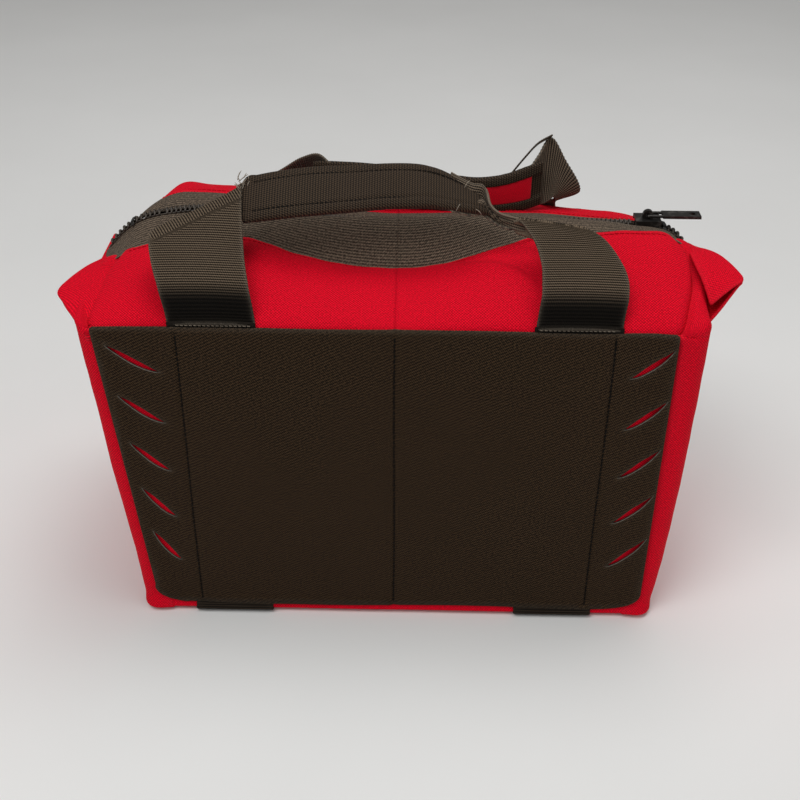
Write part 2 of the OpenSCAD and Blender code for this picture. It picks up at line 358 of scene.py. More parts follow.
def along(path, shares):
    """Points at shares of a path's length, from 0 to 1."""
    run = run_of(path)
    return np.stack([np.interp(shares * run[-1], run, path[:, k]) for k in range(3)], axis=1)


def resample(path, step):
    """Points an even step apart along a path."""
    run = run_of(path)
    at = np.arange(0, run[-1], step)
    return np.stack([np.interp(at, run, path[:, k]) for k in range(3)], axis=1)


def sew(strands, path, up, pitch=3.2, length=2.3, radius=0.33):
    """A row of lock stitches along a path, each one dipping into the cloth at its ends."""
    dots = resample(path, pitch / 4)
    up = np.asarray(up, float)
    for k in range(0, len(dots) - 4, 4):
        a = dots[k]
        b = a + (dots[k + 4] - a) * length / pitch
        lean = np.cross(up, b - a)
        lean = lean / (np.linalg.norm(lean) + 1e-9) * 0.12
        middle = (a + b) / 2
        line = [a - up * radius, a + up * radius * 0.4 + lean, middle + up * radius * 0.75]
        line += [b + up * radius * 0.4 - lean, b - up * radius]
        strands.add(line, [radius * 0.7, radius, radius * 1.05, radius, radius * 0.7])


# ---- Materials ---------------------------------------------------------------------------------


class Nodes:
    """Short names for building a node tree."""

    def __init__(self, name):
        self.material = bpy.data.materials.new(name)
        self.material.use_nodes = True
        self.tree = self.material.node_tree
        self.shader = self.tree.nodes["Principled BSDF"]

    def new(self, kind, **settings):
        node = self.tree.nodes.new(kind)
        for key, value in settings.items():
            setattr(node, key, value)
        return node

    def link(self, a, b):
        self.tree.links.new(a, b)

    def math(self, operation, a, b=0.0, clamp=False):
        node = self.new("ShaderNodeMath", operation=operation, use_clamp=clamp)
        for socket, value in zip(node.inputs, (a, b), strict=False):
            if isinstance(value, (int, float)):
                socket.default_value = value
            else:
                self.link(value, socket)
        return node.outputs[0]

    def times(self, a, b, clamp=False):
        return self.math("MULTIPLY", a, b, clamp)

    def plus(self, a, b, clamp=False):
        return self.math("ADD", a, b, clamp)

    def noise(self, vector, scale, detail=2.0, rough=0.5):
        node = self.new("ShaderNodeTexNoise")
        node.inputs["Scale"].default_value = scale
        node.inputs["Detail"].default_value = detail
        node.inputs["Roughness"].default_value = rough
        self.link(vector, node.inputs["Vector"])
        return node.outputs["Fac"]

    def ramp(self, fac, stops):
        node = self.new("ShaderNodeValToRGB")
        self.link(fac, node.inputs["Fac"])
        ramp = node.color_ramp
        while len(ramp.elements) < len(stops):
            ramp.elements.new(0.5)
        for element, (at, colour) in zip(ramp.elements, stops, strict=True):
            element.position = at
            element.color = (*colour, 1)
        return node.outputs["Color"]

    def mix(self, fac, a, b, blend="MIX"):
        node = self.new("ShaderNodeMix", data_type="RGBA", blend_type=blend)
        for socket, value in ((node.inputs[0], fac), (node.inputs[6], a), (node.inputs[7], b)):
            if isinstance(value, (int, float)):
                socket.default_value = value
            elif isinstance(value, tuple):
                socket.default_value = (*value, 1)
            else:
                self.link(value, socket)
        return node.outputs[2]

    def flat_place(self):
        """A point's place on the cut cloth in millimetres, whole and as its two parts."""
        node = self.new("ShaderNodeUVMap", uv_map="Cloth")
        split = self.new("ShaderNodeSeparateXYZ")
        self.link(node.outputs[0], split.inputs[0])
        return node.outputs[0], split.outputs[0], split.outputs[1]

    def edge(self):
        """How near a point is to its piece's edge, from 0 to 1."""
        return self.new("ShaderNodeAttribute", attribute_name="edge").outputs["Fac"]

    def bump(self, height, distance, strength=1.0, before=None):
        node = self.new("ShaderNodeBump")
        node.inputs["Strength"].default_value = strength
        node.inputs["Distance"].default_value = distance * MM
        self.link(height, node.inputs["Height"])
        if before is not None:
            self.link(before, node.inputs["Normal"])
        return node.outputs["Normal"]

    def set(self, **values):
        for key, value in values.items():
            socket = self.shader.inputs[key.replace("_", " ")]
            if isinstance(value, (int, float)):
                socket.default_value = value
            elif isinstance(value, tuple):
                socket.default_value = (*value, 1)
            else:
                self.link(value, socket)


def srgb(*values):
    """Scene-linear colour from 0 to 255 display values."""
    shares = [v / 255 for v in values]
    return tuple(c / 12.92 if c <= 0.04045 else ((c + 0.055) / 1.055) ** 2.4 for c in shares)


def tint(colour, by):
    """A colour made lighter or darker by a factor."""
    return tuple(min(1.0, c * by) for c in colour)


def woven(name, colour, worn, pitch, depth, rough, sheen, fleck=0.35, twill=0.0):
    """Plain or twill weave: yarns over and under, uneven dye, fuzz and pale wear along edges."""
    n = Nodes(name)
    cloth, u, v = n.flat_place()
    slow = n.noise(cloth, 0.018, 3.0, 0.6)
    cloudy = n.noise(cloth, 0.09, 3.0, 0.6)
    yarn_u = n.math("SINE", n.times(u, math.pi / pitch))
    shift = n.times(u, twill)
    yarn_v = n.math("SINE", n.times(n.plus(v, shift), math.pi / pitch))
    cross = n.times(yarn_u, yarn_v)
    cell = n.plus(n.times(cross, 0.5), 0.5)
    thread = n.noise(cloth, 0.75 / pitch, 2.0, 0.7)
    height = n.plus(n.times(cell, 0.45), n.times(thread, 0.75))
    dark, light = tint(colour, 1 - fleck), tint(colour, 1 + 2.6 * fleck)
    body = n.ramp(height, [(0.42, dark), (0.59, colour), (0.76, light)])
    body = n.mix(n.times(slow, 0.30), body, tint(colour, 0.72))
    body = n.mix(n.times(cloudy, 0.14), body, tint(colour, 1.3))
    frayed = n.times(n.edge(), n.plus(n.times(thread, 0.8), -0.12), True)
    body = n.mix(frayed, body, worn)
    roughness = n.plus(n.times(thread, 0.16), rough - 0.08)
    fine = n.bump(height, depth, 0.7)
    n.set(
        Base_Color=body,
        Roughness=roughness,
        Normal=n.bump(cloudy, 0.5, 0.35, fine),
        Sheen_Weight=sheen,
        Sheen_Roughness=0.45,
        Specular_IOR_Level=0.09,
    )
    return n.material


def webbed(name, colour, worn, ribs=0.0, along=0.0, rough=0.72, foot=0.0):
    """Webbing: heavy ribs across it, fine yarns along it, dark troughs and paler selvedges.

    foot is how far the first 9 mm are darkened with painted shade, the shadow under the webbing's
    bulge over its sewn foot. That fades out by 23 mm.
    """
    n = Nodes(name)
    cloth, u, v = n.flat_place()
    rib = n.math("COSINE", n.times(v, 2 * math.pi / RIB))
    rib = n.plus(n.times(rib, 0.5 * ribs), 0.5)
    slant = n.plus(u, n.times(v, 0.5))
    yarn = n.math("SINE", n.times(slant, 2 * math.pi / YARN))
    yarn = n.plus(n.times(yarn, 0.5 * along), 0.5)
    thread = n.noise(cloth, 0.9, 3.0, 0.75)
    slow = n.noise(cloth, 0.035, 2.0, 0.6)
    height = n.plus(n.times(rib, 0.50), n.times(yarn, 0.32))
    height = n.plus(height, n.times(thread, 0.35))
    body = n.ramp(height, [(0.38, tint(colour, 0.05)), (0.57, colour), (0.78, tint(colour, 3.0))])
    body = n.mix(n.times(slow, 0.25), body, tint(colour, 0.6))
    # painted shade: the foot end of the webbing is blended nearly to black, standing in for the shadow under
    # its bulge
    if foot:
        near = n.new("ShaderNodeMapRange", interpolation_type="SMOOTHSTEP")
        near.inputs["From Min"].default_value, near.inputs["From Max"].default_value = 23.0, 9.0
        near.inputs["To Max"].default_value = foot
        n.link(v, near.inputs["Value"])
        body = n.mix(near.outputs["Result"], body, tint(colour, 0.03))
    frayed = n.times(n.edge(), n.plus(n.times(thread, 0.9), -0.1), True)
    body = n.mix(frayed, body, worn)
    n.set(
        Base_Color=body,
        Roughness=n.plus(n.times(thread, 0.15), rough - 0.07),
        Normal=n.bump(height, 0.5, 0.8),
        Sheen_Weight=0.0 if foot else 0.06,
        Sheen_Roughness=0.4,
        Specular_IOR_Level=0.08 if foot else 0.16,
    )
    return n.material


def spun(name, colour, rough=0.6):
    """Sewing thread: twisted plies with small changes of shade."""
    n = Nodes(name)
    _, u, v = n.flat_place()
    twist = n.math("SINE", n.times(n.plus(u, n.times(v, 0.4)), 9.0))
    shade = n.plus(n.times(twist, 0.4), 0.5)
    shade = n.ramp(shade, [(0.1, tint(colour, 0.6)), (0.9, tint(colour, 1.3))])
    n.set(
        Base_Color=shade,
        Roughness=n.plus(n.times(twist, 0.06), rough),
        Normal=n.bump(twist, 0.1, 0.5),
        Specular_IOR_Level=0.1,
    )
    return n.material


def moulded(name, colour, rough, metallic=0.0, grain=0.5, wear=(0.3, 0.3, 0.3), lift=0.15):
    """Moulded or cast hardware in object space: fine grain, rubbed spots and dull patches."""
    n = Nodes(name)
    where = n.new("ShaderNodeTexCoord").outputs["Object"]
    fine = n.noise(where, 2600 * grain, 3.0, 0.6)
    patch = n.noise(where, 160, 4.0, 0.65)
    rubbed = n.times(n.math("SUBTRACT", patch, 0.52, True), 2.2, True)
    body = n.mix(n.times(fine, 0.5), tint(colour, 0.75), tint(colour, 1.3))
    body = n.mix(rubbed, body, wear)
    n.set(
        Base_Color=body,
        Roughness=n.plus(n.times(patch, 0.3), rough - 0.12),
        Metallic=metallic,
        Normal=n.bump(fine, lift * 0.3, 0.5),
    )
    return n.material


RED = srgb(202, 3, 29)
RED_WORN = srgb(212, 32, 50)
BLACK = srgb(40, 29, 18)

red_cloth = woven("red_cloth", RED, RED_WORN, 0.9, 0.5, 0.8, 0.0, fleck=0.45)
red_lining = woven("red_lining", tint(RED, 0.9), RED_WORN, 0.5, 0.2, 0.72, 0.08, fleck=0.3)
dark_cloth = woven("dark_cloth", BLACK, srgb(84, 76, 66), 1.0, 0.6, 0.85, 0.02, fleck=0.97, twill=0.5)
inner_cloth = woven("inner_cloth", srgb(58, 56, 54), srgb(110, 108, 104), 0.6, 0.12, 0.6, 0.15, fleck=0.2)
tape_cloth = woven(
    "tape_cloth", srgb(74, 64, 54), srgb(116, 106, 96), 1.0, 0.6, 0.8, 0.04, fleck=0.95, twill=1.0
)
strap_web = webbed("strap_web", srgb(70, 60, 49), srgb(112, 103, 92), ribs=1.0, along=0.9)
# the straps' first 9 mm to 23 mm are darkened with painted shade under their bulge
strap_web_foot_shade = webbed("strap_web_foot_shade", srgb(70, 60, 49), srgb(104, 95, 84), ribs=1.0, along=0.9, foot=0.97)
grip_web = webbed("grip_web", srgb(44, 34, 24), srgb(90, 81, 71), ribs=0.6, along=1.0)
# the girth straps' top front end is darkened with painted shade where the handle straps' feet lie over it
under_web_foot_shade = webbed("under_web_foot_shade", srgb(30, 24, 18), srgb(52, 45, 38), ribs=0.9, along=0.8, foot=0.97)
binding_web = webbed("binding_web", srgb(60, 54, 48), srgb(104, 98, 90), ribs=0.4, along=0.9)
cut_edge = spun("cut_edge", srgb(120, 114, 106), 0.8)
dark_thread = spun("dark_thread", srgb(10, 8, 6))
foot_thread = spun("foot_thread", srgb(112, 102, 90))
red_thread = spun("red_thread", tint(RED, 0.95))
loose_thread = spun("loose_thread", srgb(150, 138, 124))
coil_nylon = moulded("coil_nylon", srgb(62, 54, 46), 0.42, grain=0.6, wear=srgb(104, 96, 86))
gunmetal = moulded("gunmetal", srgb(58, 56, 54), 0.36, metallic=0.85, wear=srgb(150, 146, 140))
board_black = moulded("board_black", srgb(36, 36, 38), 0.55, grain=0.35, wear=srgb(66, 66, 68))


# ---- The body ----------------------------------------------------------------------------------

SLIT_IN = 139.8    # inner end of every slit of an overlay
WALL_BELLY = 1.1   # how far the middle of the front and rear walls stands out
SLIT_PUSH = 1.1    # how far the wall's cloth is pushed out behind the slits
END_BELLY = {LEFT: 2.0, RIGHT: 3.2}
ROLL_OUT = 1.4     # how far the end panels' rolled corners stand proud of the walls
PIPING = 4.2       # how far the thick seam along the foot stands out
CORNERS_IN = 8.5   # how far both rear top corners are drawn in
LEFT_DOWN = 7.5    # how far the left one sags
RIGHT_DOWN = 11.5  # how far the right one sags, with the right half of the rear edge
# How far each end bulges past the frame's, at heights above the floor
SWELL = {
    LEFT: ((0, 2.5), (110, 2.5), (217, 1.7)),
    RIGHT: ((0, 8.0), (38, 8.6), (95, 6.8), (154, 3.0), (217, -1.8)),
}


def cad_half(z):
    """Half the body's width at a height, as the frame has it."""
    return BASE_HALF + (TOP_HALF - BASE_HALF) * np.asarray(z, float) / WALL_TOP


def edge_x(side, z):
    """How far the rolled corner stands out at a height, always positive."""
    return cad_half(z) + curve(z, SWELL[side])


def slump(points):
    """Draws the rear top corners in and down, because the empty bag sags there."""
    x, y, z = points[..., 0], points[..., 1], points[..., 2]
    rear_top = smooth(22, 88, y) * smooth(130, WALL_TOP, z)
    moved = points.copy()
    moved[..., 0] -= np.sign(x) * CORNERS_IN * rear_top * (np.abs(x) / TOP_HALF) ** 4
    moved[..., 2] -= LEFT_DOWN * rear_top * smooth(132, 180, -x)
    moved[..., 2] -= RIGHT_DOWN * smooth(15, 86, x) * smooth(48, 92, y) * smooth(110, WALL_TOP, z)
    return moved


def piping(z):
    """How far the thick seam along the foot of the body stands out."""
    return PIPING * bump(z, 3.8, 3.6)


def rise(count):
    """Heights of a wall and how far its rounded foot is drawn in at each."""
    foot = np.linspace(0, math.pi / 2, 7)
    straight = np.linspace(BASE_Z + FOOT, WALL_TOP, count)[1:]
    z = np.concatenate([BASE_Z + FOOT * (1 - np.cos(foot)), straight])
    inset = np.concatenate([FOOT * (1 - np.sin(foot)), np.zeros(count - 1)])
    return z, inset


def wall(end):
    """Front or rear wall: nearly flat, a little belly, its foot rounded under."""
    z, inset = rise(46)
    left, right = edge_x(-1, z) - CORNER, edge_x(1, z) - CORNER
    across = np.linspace(0, 1, 90)
    x = -left[:, None] + (left + right)[:, None] * across
    belly = WALL_BELLY * np.sin(math.pi * np.clip(z / WALL_TOP, 0, 1))[:, None] * np.sin(math.pi * across)
    behind_slits = smooth(26, 36, z) * (1 - smooth(206, 212, z))
    pushed = SLIT_PUSH * smooth(SLIT_IN - 8, SLIT_IN, np.abs(x)) * behind_slits[:, None]
    y = end * (HALF_DEPTH - 0.6 - inset[:, None] + belly + piping(z)[:, None] + pushed)
    points = np.stack([x, np.broadcast_to(y, x.shape), np.broadcast_to(z[:, None], x.shape)], axis=2)
    points[..., 1] += 0.35 * wrinkle(points, 46, 3 + end)
    piece = skin(f"{WORD[end]}_wall_cloth", slump(points), CLOTH, INSIDE, red_cloth)
    settle(piece, "red_fabric", "shell", f"{WORD[end]}_wall")


def end_panel(side):
    """One end, wrapping round both corners as soft rolls and lapping onto the front and rear."""
    z, inset = rise(56)
    arc = np.linspace(0, math.pi / 2, 13)
    lap = np.linspace(9, 1.5, 4)
    straight = np.linspace(-1, 1, 44)[1:-1]
    edge = edge_x(side, z)
    rows = []
    for k in range(len(z)):
        e, drawn = edge[k] - inset[k], inset[k]
        deep = HALF_DEPTH + ROLL_OUT - drawn + float(piping(z[k]))
        r = CORNER - 0.4 * drawn
        belly = END_BELLY[side] * math.sin(math.pi * min(1, z[k] / WALL_TOP) ** 0.8)
        front = [(e - r - a, -deep + 0.9 * (a / 9)) for a in lap]
        front += [(e - r + r * math.sin(a), -(deep - r) - r * math.cos(a)) for a in arc]
        sides = [(e + belly * math.cos(s * math.pi / 2), s * (deep - r)) for s in straight]
        rear = [(x, -y) for x, y in reversed(front)]
        rows.append([(side * x, y, z[k]) for x, y in front + sides + rear])
    points = np.array(rows)
    n = facing(points, INSIDE)
    fold = 0.55 * wrinkle(points * (1, 1, 0.5), 34, side + 5) + 0.25 * wrinkle(points, 12, side + 9)
    points += n * (fold * (1 - smooth(200, WALL_TOP, points[..., 2])))[..., None]
    points = slump(points).transpose(1, 0, 2)
    piece = skin(f"{HAND[side]}_end_cloth", points, CLOTH, INSIDE, red_cloth, joined=(-1,))
    settle(piece, "red_fabric", "shell", f"{HAND[side]}_end_panel")


def bottom_panel():
    """The bottom cloth between the four rounded feet."""
    ys = np.linspace(-1, 1, 30) * (HALF_DEPTH - FOOT + 1.5)
    across = np.linspace(0, 1, 50)
    left, right = edge_x(-1, 0) - FOOT + 1.5, edge_x(1, 0) - FOOT + 1.5
    x, y = np.meshgrid(-left + (left + right) * across, ys)
    points = np.stack([x, y, np.full_like(x, BASE_Z + 0.2)], axis=2)
    points[..., 2] += 0.2 * wrinkle(points, 40, 21)
    piece = skin("bottom_panel_cloth", points, CLOTH, INSIDE, red_cloth)
    settle(piece, "red_fabric", "shell", "bottom_panel")


def base_board():
    """Stiff board with rounded corners and a rolled rim, lying on the bottom."""
    low, high = place("base_board")
    half = (high - low) / 2
    radius = 14
    rows = []
    rim = ((2.2, low[2]), (0.4, low[2] + 0.6), (0, low[2] + 1.5), (0.4, high[2] - 0.5), (2.2, high[2]))
    for inset, z in rim:
        ring = []
        for quarter in range(4):
            for a in np.linspace(0, math.pi / 2, 8):
                t = a + quarter * math.pi / 2
                cx = math.copysign(half[0] - radius, math.cos(quarter * math.pi / 2 + math.pi / 4))
                cy = math.copysign(half[1] - radius, math.sin(quarter * math.pi / 2 + math.pi / 4))
                r = radius - inset
                ring.append((cx + r * math.cos(t), cy + r * math.sin(t), z))
        rows.append(ring)
    count = len(rows[0])
    verts = [p for ring in rows for p in ring]
    faces = [
        [k * count + s, k * count + (s + 1) % count, (k + 1) * count + (s + 1) % count, (k + 1) * count + s]
        for k in range(len(rows) - 1)
        for s in range(count)
    ]
    faces += [list(range(count - 1, -1, -1)), list(range((len(rows) - 1) * count, len(rows) * count))]
    flat = [(p[0], p[1]) for p in verts]
    piece = make("base_board_sheet", verts, faces, flat, board_black, shade=False)
    settle(piece, "board", "shell", "base_board")


def foam(end):
    """A foam sheet in its lining cloth: crowned, with pinched edges and sewn channels."""
    low, high = place(f"{WORD[end]}_foam")
    z = np.linspace(low[2] + 1, high[2] - 1, 60)
    across = np.linspace(0, 1, 110)
    half = cad_half(z) - 15
    x = -half[:, None] + 2 * half[:, None] * across
    zz = np.broadcast_to(z[:, None], x.shape)
    crown = np.minimum(1, np.minimum(across, 1 - across)[None, :] * 22)
    crown = crown * np.minimum(1, (z - z[0]) / 9)[:, None] * np.minimum(1, (z[-1] - z) / 9)[:, None]
    channel = sum(bump(x, at, 2.2) for at in (0, -85, 85))
    depth = 1.0 + 2.6 * np.sqrt(np.clip(crown, 0, 1)) * (1 - 0.75 * np.clip(channel, 0, 1))
    y = end * (HALF_DEPTH - 2.8 - depth)
    points = np.stack([x, y, zz], axis=2)
    points[..., 1] += 0.3 * wrinkle(points, 30, 31 + end)
    outside = np.array([0, end * 300.0, 110])
    piece = skin(f"{WORD[end]}_foam_panel", points, 0.9, outside, inner_cloth)
    settle(piece, "foam", "shell", f"{WORD[end]}_foam")


BINDING_R = 2.6    # radius of the fold of the binding tape


def binding(side):
    """Binding tape folded over the raw edges inside both corners of one end."""
    arc = np.linspace(-0.5, 1, 13) * math.pi
    for end in (FRONT, REAR):
        rows = []
        for h in np.linspace(10, WALL_TOP - 8, 300):
            e = edge_x(side, h) - CORNER - 5.5
            r = BINDING_R + 0.25 * ribbed(h)
            x = side * (e + r * np.cos(arc) * 1.25)
            y = end * (HALF_DEPTH - 5.8 - r * np.sin(arc) * 0.8)
            rows.append(np.stack([x, y, np.full_like(x, h)], axis=1))
        points = slump(np.array(rows))
        middle = points.mean(axis=(0, 1))
        piece = skin(f"{HAND[side]}_seam_tape_{WORD[end]}", points, 0.5, middle, binding_web)
        settle(piece, "binding", "shell", f"{HAND[side]}_seam_binding")


# ---- Overlays ----------------------------------------------------------------------------------

SEWN = 128.8       # how far out the two outer sewn lines are
OVERLAY_TOP = WALL_TOP + 2.6
OVERLAY_FOOT = 7.4
CURL = 20.0        # how far in from its edge the overlay's lower corners are rounded
SLIT_TOP = 188.5   # height of the inner end of the highest slit
SLIT_STEP = 36.3   # from one slit down to the next
SLIT_HALF = 1.85   # half the width of a slit in its middle


def overlay_edge(side, z):
    """Outer edge of an overlay: it leans with the left end and stands nearly upright at the right."""
    if side < 0:
        return cad_half(z) - 8.7
    return np.full_like(np.asarray(z, float), 165.4)


def overlay_lift(end):
    """Where an overlay's cloth lies in front of its wall: over the straps, pulled in along its seams."""

    def lift(x, z):
        over_strap = smooth(WEB_IN - 5, WEB_IN + 3, abs(x))
        over_strap = over_strap * (1 - smooth(WEB_OUT - 2, WEB_OUT + 6, abs(x)))
        pulled = bump(x, 0, 1.1) + bump(x, SEWN, 1.1) + bump(x, -SEWN, 1.1)
        quilt = 0.35 * np.abs(np.sin(math.pi * x / SEWN)) ** 0.6
        belly = 1.0 * np.sin(math.pi * np.clip(z / WALL_TOP, 0, 1)) * np.cos(x / 172 * math.pi / 2)
        at = np.stack([x, np.zeros_like(x), z], axis=1)
        drape = 0.45 * wrinkle(at * (1, 1, 0.8), 60, 41 + end) + 0.16 * wrinkle(at, 14, 43 + end)
        gap = np.where(x < 0, overlay_edge(-1, z), overlay_edge(1, z)) - abs(x)
        over_roll = 1 - smooth(5, 15, gap)
        out = 1.6 + 0.6 * over_strap + quilt - 0.7 * pulled + belly + drape + 1.2 * over_roll + piping(z)
        return slump(np.stack([x, end * (HALF_DEPTH + out), z], axis=1))

    return lift


def slit(side, row):
    """One curved slit as a closed outline in (x, z), and the lower lip on its own."""
    low = SLIT_TOP - SLIT_STEP * row
    reach = overlay_edge(side, low + 20) - (7.0 if side < 0 else 1.6) - SLIT_IN
    climb = (18.5 + 1.6 * row) if side < 0 else (20.5 + 1.1 * row)
    t = np.linspace(0, 1, 15)
    x = SLIT_IN + reach * t
    z = low + climb * t**1.3
    half = SLIT_HALF * np.sin(math.pi * t) ** 0.8
    lean = math.atan2(climb, reach)
    dx, dz = -math.sin(lean) * half, math.cos(lean) * half
    upper = list(zip(side * (x + dx), z + dz, strict=True))
    lower = list(zip(side * (x - dx), z - dz, strict=True))
    return upper + lower[-2:0:-1], lower


def overlay_outline():
    """The overlay's border as (x, z): up its right edge, along the top, down its left and back."""
    outline = []
    for side in (RIGHT, LEFT):
        part = []
        for a in np.linspace(0, math.pi / 2, 8)[::-1]:
            low = 1 - math.sin(a)
            reach = overlay_edge(side, OVERLAY_FOOT + CURL * low) - CURL * (1 - math.cos(a))
            part.append((side * reach, OVERLAY_FOOT + CURL * 0.6 * low))
        for h in np.arange(OVERLAY_FOOT + 0.6 * CURL, OVERLAY_TOP - 1, 4.0)[1:]:
            part.append((side * overlay_edge(side, h), h))
        top = side * overlay_edge(side, OVERLAY_TOP)
        part += [(top - side * 0.3, OVERLAY_TOP - 1.2), (top - side * 2.0, OVERLAY_TOP)]
        if side == RIGHT:
            outline += part
            outline += [(x, OVERLAY_TOP + 0.25 * math.sin(x / 23)) for x in np.arange(156, -166, -4.0)]
        else:
            outline += part[::-1]
            outline += [(x, OVERLAY_FOOT + 0.4 * math.sin(x / 31)) for x in np.arange(-140, 144, 4.0)]
    return [(float(a), float(b)) for a, b in outline]


def overlay(end):
    """An overlay with its ten slits cut right through, their pale cut edges and its sewn lines."""
    name = f"{WORD[end]}_overlay_cloth"
    z = np.arange(OVERLAY_FOOT, OVERLAY_TOP, 4.0)
    holes, lips = [], []
    for side in (-1, 1):
        for row in range(5):
            hole, lip = slit(side, row)
            holes.append([(float(a), float(b)) for a, b in hole])
            lips.append(lip)
    columns = np.arange(-176, 177, 4.0).tolist()
    for at in (-SEWN, 0, SEWN):
        columns += [at - 2.4, at - 1.2, at - 0.6, at, at + 0.6, at + 1.2, at + 2.4]
    spare = [(c + 0.01 * k, h) for c in columns for k, h in enumerate(z)]
    spare += [
        (side * c, h)
        for side in (-1, 1)
        for c in np.arange(137, 168, 2.0)
        for h in np.arange(40, 214, 2.0)
    ]
    lift = overlay_lift(end)
    piece = plate(name, overlay_outline(), holes, spare, lift, 1.0, end, dark_cloth)
    settle(piece, "dark_cloth", "shell", f"{WORD[end]}_overlay")

    edges = Strands(6)
    for lip in lips:
        x, h = np.array([p[0] for p in lip]), np.array([p[1] for p in lip])
        path = lift(x, h)
        path[:, 1] += end * 0.05
        path[:, 2] -= 0.15
        edges.add(path, 0.25 * np.sin(np.linspace(0.15, math.pi - 0.15, len(x))) ** 0.5)
    trim = edges.build(f"{name}_cut_edges", cut_edge)
    settle(trim, "dark_cloth", "shell")

    thread = Strands(6)
    up = (0, end, 0)
    for at in (-SEWN, 0, SEWN):
        h = np.linspace(OVERLAY_FOOT + 2, OVERLAY_TOP - 2, 90)
        x = at + 0.35 * np.sin(h / 37 + at)
        sew(thread, lift(x, h), up, pitch=3.6, length=2.3, radius=0.42)
    row = thread.build(f"{name}_stitching", dark_thread)
    settle(row, "dark_cloth", "shell")


def girth_strap(side):
    """One strap from the front of the mouth, down, under the bottom and up the rear."""
    deep = HALF_DEPTH + 1.5
    foot = 4.0
    turn = np.linspace(0, math.pi / 2, 60)
    up = np.linspace(HANDLE_Z - 1.0, foot + 1, int((HANDLE_Z - foot) / 0.48))
    path = [(-deep, h) for h in up]
    path += [(-deep + foot * (1 - math.cos(a)), 0.1 + foot * (1 - math.sin(a))) for a in turn[1:]]
    under = np.linspace(-deep + foot, deep - foot, 380)
    path += [(y, 0.1) for y in under[1:]]
    path += [(-y, z) for y, z in path[len(up) + len(turn) - 2 : len(up) - 1 : -1]]
    path += [(deep, h) for h in up[::-1]]
    path = np.array(path)
    at_face = smooth(HALF_DEPTH - 8, HALF_DEPTH, np.abs(path[:, 0]))
    path[:, 0] += np.sign(path[:, 0]) * piping(path[:, 1]) * at_face
    run = run_of(path)
    across = np.linspace(0, 1, 14)
    x = side * (WEB_IN + (WEB_OUT - WEB_IN) * across)
    points = np.empty((len(path), len(across), 3))
    points[..., 0] = x
    points[..., 1:] = path[:, None, :]
    n = facing(points, INSIDE)
    relief = 0.16 * ribbed(run)[:, None] * np.ones(len(across))
    relief[:, 0] = relief[:, -1] = 0
    floor = smooth(1.5, 6, points[..., 2])
    points = slump(points + n * (relief * floor)[..., None])
    flat = np.stack(np.broadcast_arrays(x[None, :], run[:, None]), axis=2)
    piece = skin(f"{HAND[side]}_girth_web", points, WEBBING * 0.8, INSIDE, under_web_foot_shade, flat)
    settle(piece, "dark_webbing", "shell", f"{HAND[side]}_girth_strap")


# ---- The top -----------------------------------------------------------------------------------

# (x, (distance from the middle, height)) of the seam between each top panel and its zip tape
SEAM = {
    FRONT: (
        (-190, (24, 219)), (-174, (24, 231)), (-154, (24, 238.5)), (-122, (25, 243)), (-95, (27, 244.5)),
        (-62, (31, 236)), (-35, (33, 230.5)), (2, (34, 228)), (30, (33, 231.5)), (58, (30, 240.5)),
        (84, (27, 247.5)), (119, (25, 249.3)), (140, (24, 251)), (158, (24, 251.0)), (171, (24, 247.5)),
        (184, (24, 236)), (190, (24, 224)),
    ),
    REAR: (
        (-190, (22, 212)), (-176, (22, 227)), (-163, (22, 242)), (-152, (22, 249.5)), (-142, (22, 253)),
        (-130, (22, 253.5)), (-110, (23, 252)), (-75, (24, 247)), (0, (25, 238)), (60, (25, 240)),
        (92, (24, 240.5)), (115, (24, 238.8)), (139, (24, 237)), (155, (23, 236.2)), (167, (22, 233.5)),
        (178, (22, 228.5)), (190, (22, 219)),
    ),
}
# The crest of each tape, between the seam and the coil
CREST = {
    FRONT: (
        (-190, (12, 219)), (-158, (12, 243)), (-120, (12, 247)), (-90, (11, 250)), (-40, (9, 252)),
        (2, (9, 252)), (60, (8, 255.5)), (93, (8, 255)), (111, (8, 253)), (125, (8, 251.8)),
        (140, (10, 250.5)), (150, (12, 249)), (160, (13, 247.5)), (172, (12, 243)), (190, (12, 223)),
    ),
    REAR: (
        (-190, (12, 217)), (-176, (12, 231.5)), (-163, (12, 245)), (-149, (12, 252)), (-138, (12, 254.5)),
        (-100, (12, 252)), (0, (12, 244.5)), (60, (12, 245.5)), (93, (12, 245.5)), (113, (12, 243.5)),
        (137, (12, 241.7)), (153, (12, 241)), (165, (12, 238.5)), (179, (12, 232)), (190, (12, 222)),
    ),
}
# Height of the tape where the coil sits
ZIP = (
    (-190, 220), (-182, 229), (-174, 237), (-166, 242.6), (-157, 246.4), (-142, 249.4), (-128, 251),
    (-100, 250), (-50, 246), (0, 244), (60, 245.4), (95, 246), (127, 245), (150, 244.6),
    (162, 244.2), (168, 243), (175, 239.5), (181, 234), (184.5, 228), (186.5, 221),
)
# How far from the middle the zip's tape ends, turned down over the bag's ends
ZIP_REACH = {-1: 188.3, 1: 186.3}
# Where a top panel ends at each side, from its foot (0) to its seam with the tape (1)
PANEL_END = {
    (FRONT, -1): ((0, 178.0), (0.35, 182.5), (0.7, 182.5), (1, 174)),
    (FRONT, 1): ((0, 165.5), (0.35, 172.5), (0.7, 180), (0.9, 178), (1, 171)),
    (REAR, -1): ((0, 174.0), (0.4, 176), (0.75, 175), (1, 169)),
    (REAR, 1): ((0, 172.0), (0.4, 175), (0.75, 174), (1, 168)),
}
# A soft crease in the front panel: (x, how far up the panel it runs)
CREASE = ((-40, 1.0), (-10, 0.96), (50, 0.80), (72, 0.62), (84, 0.45))
PANEL_FOOT = 7.0    # how far a top panel runs down behind the overlay
COIL_HALF = 2.7     # from the middle of the zip to the inner edge of each tape


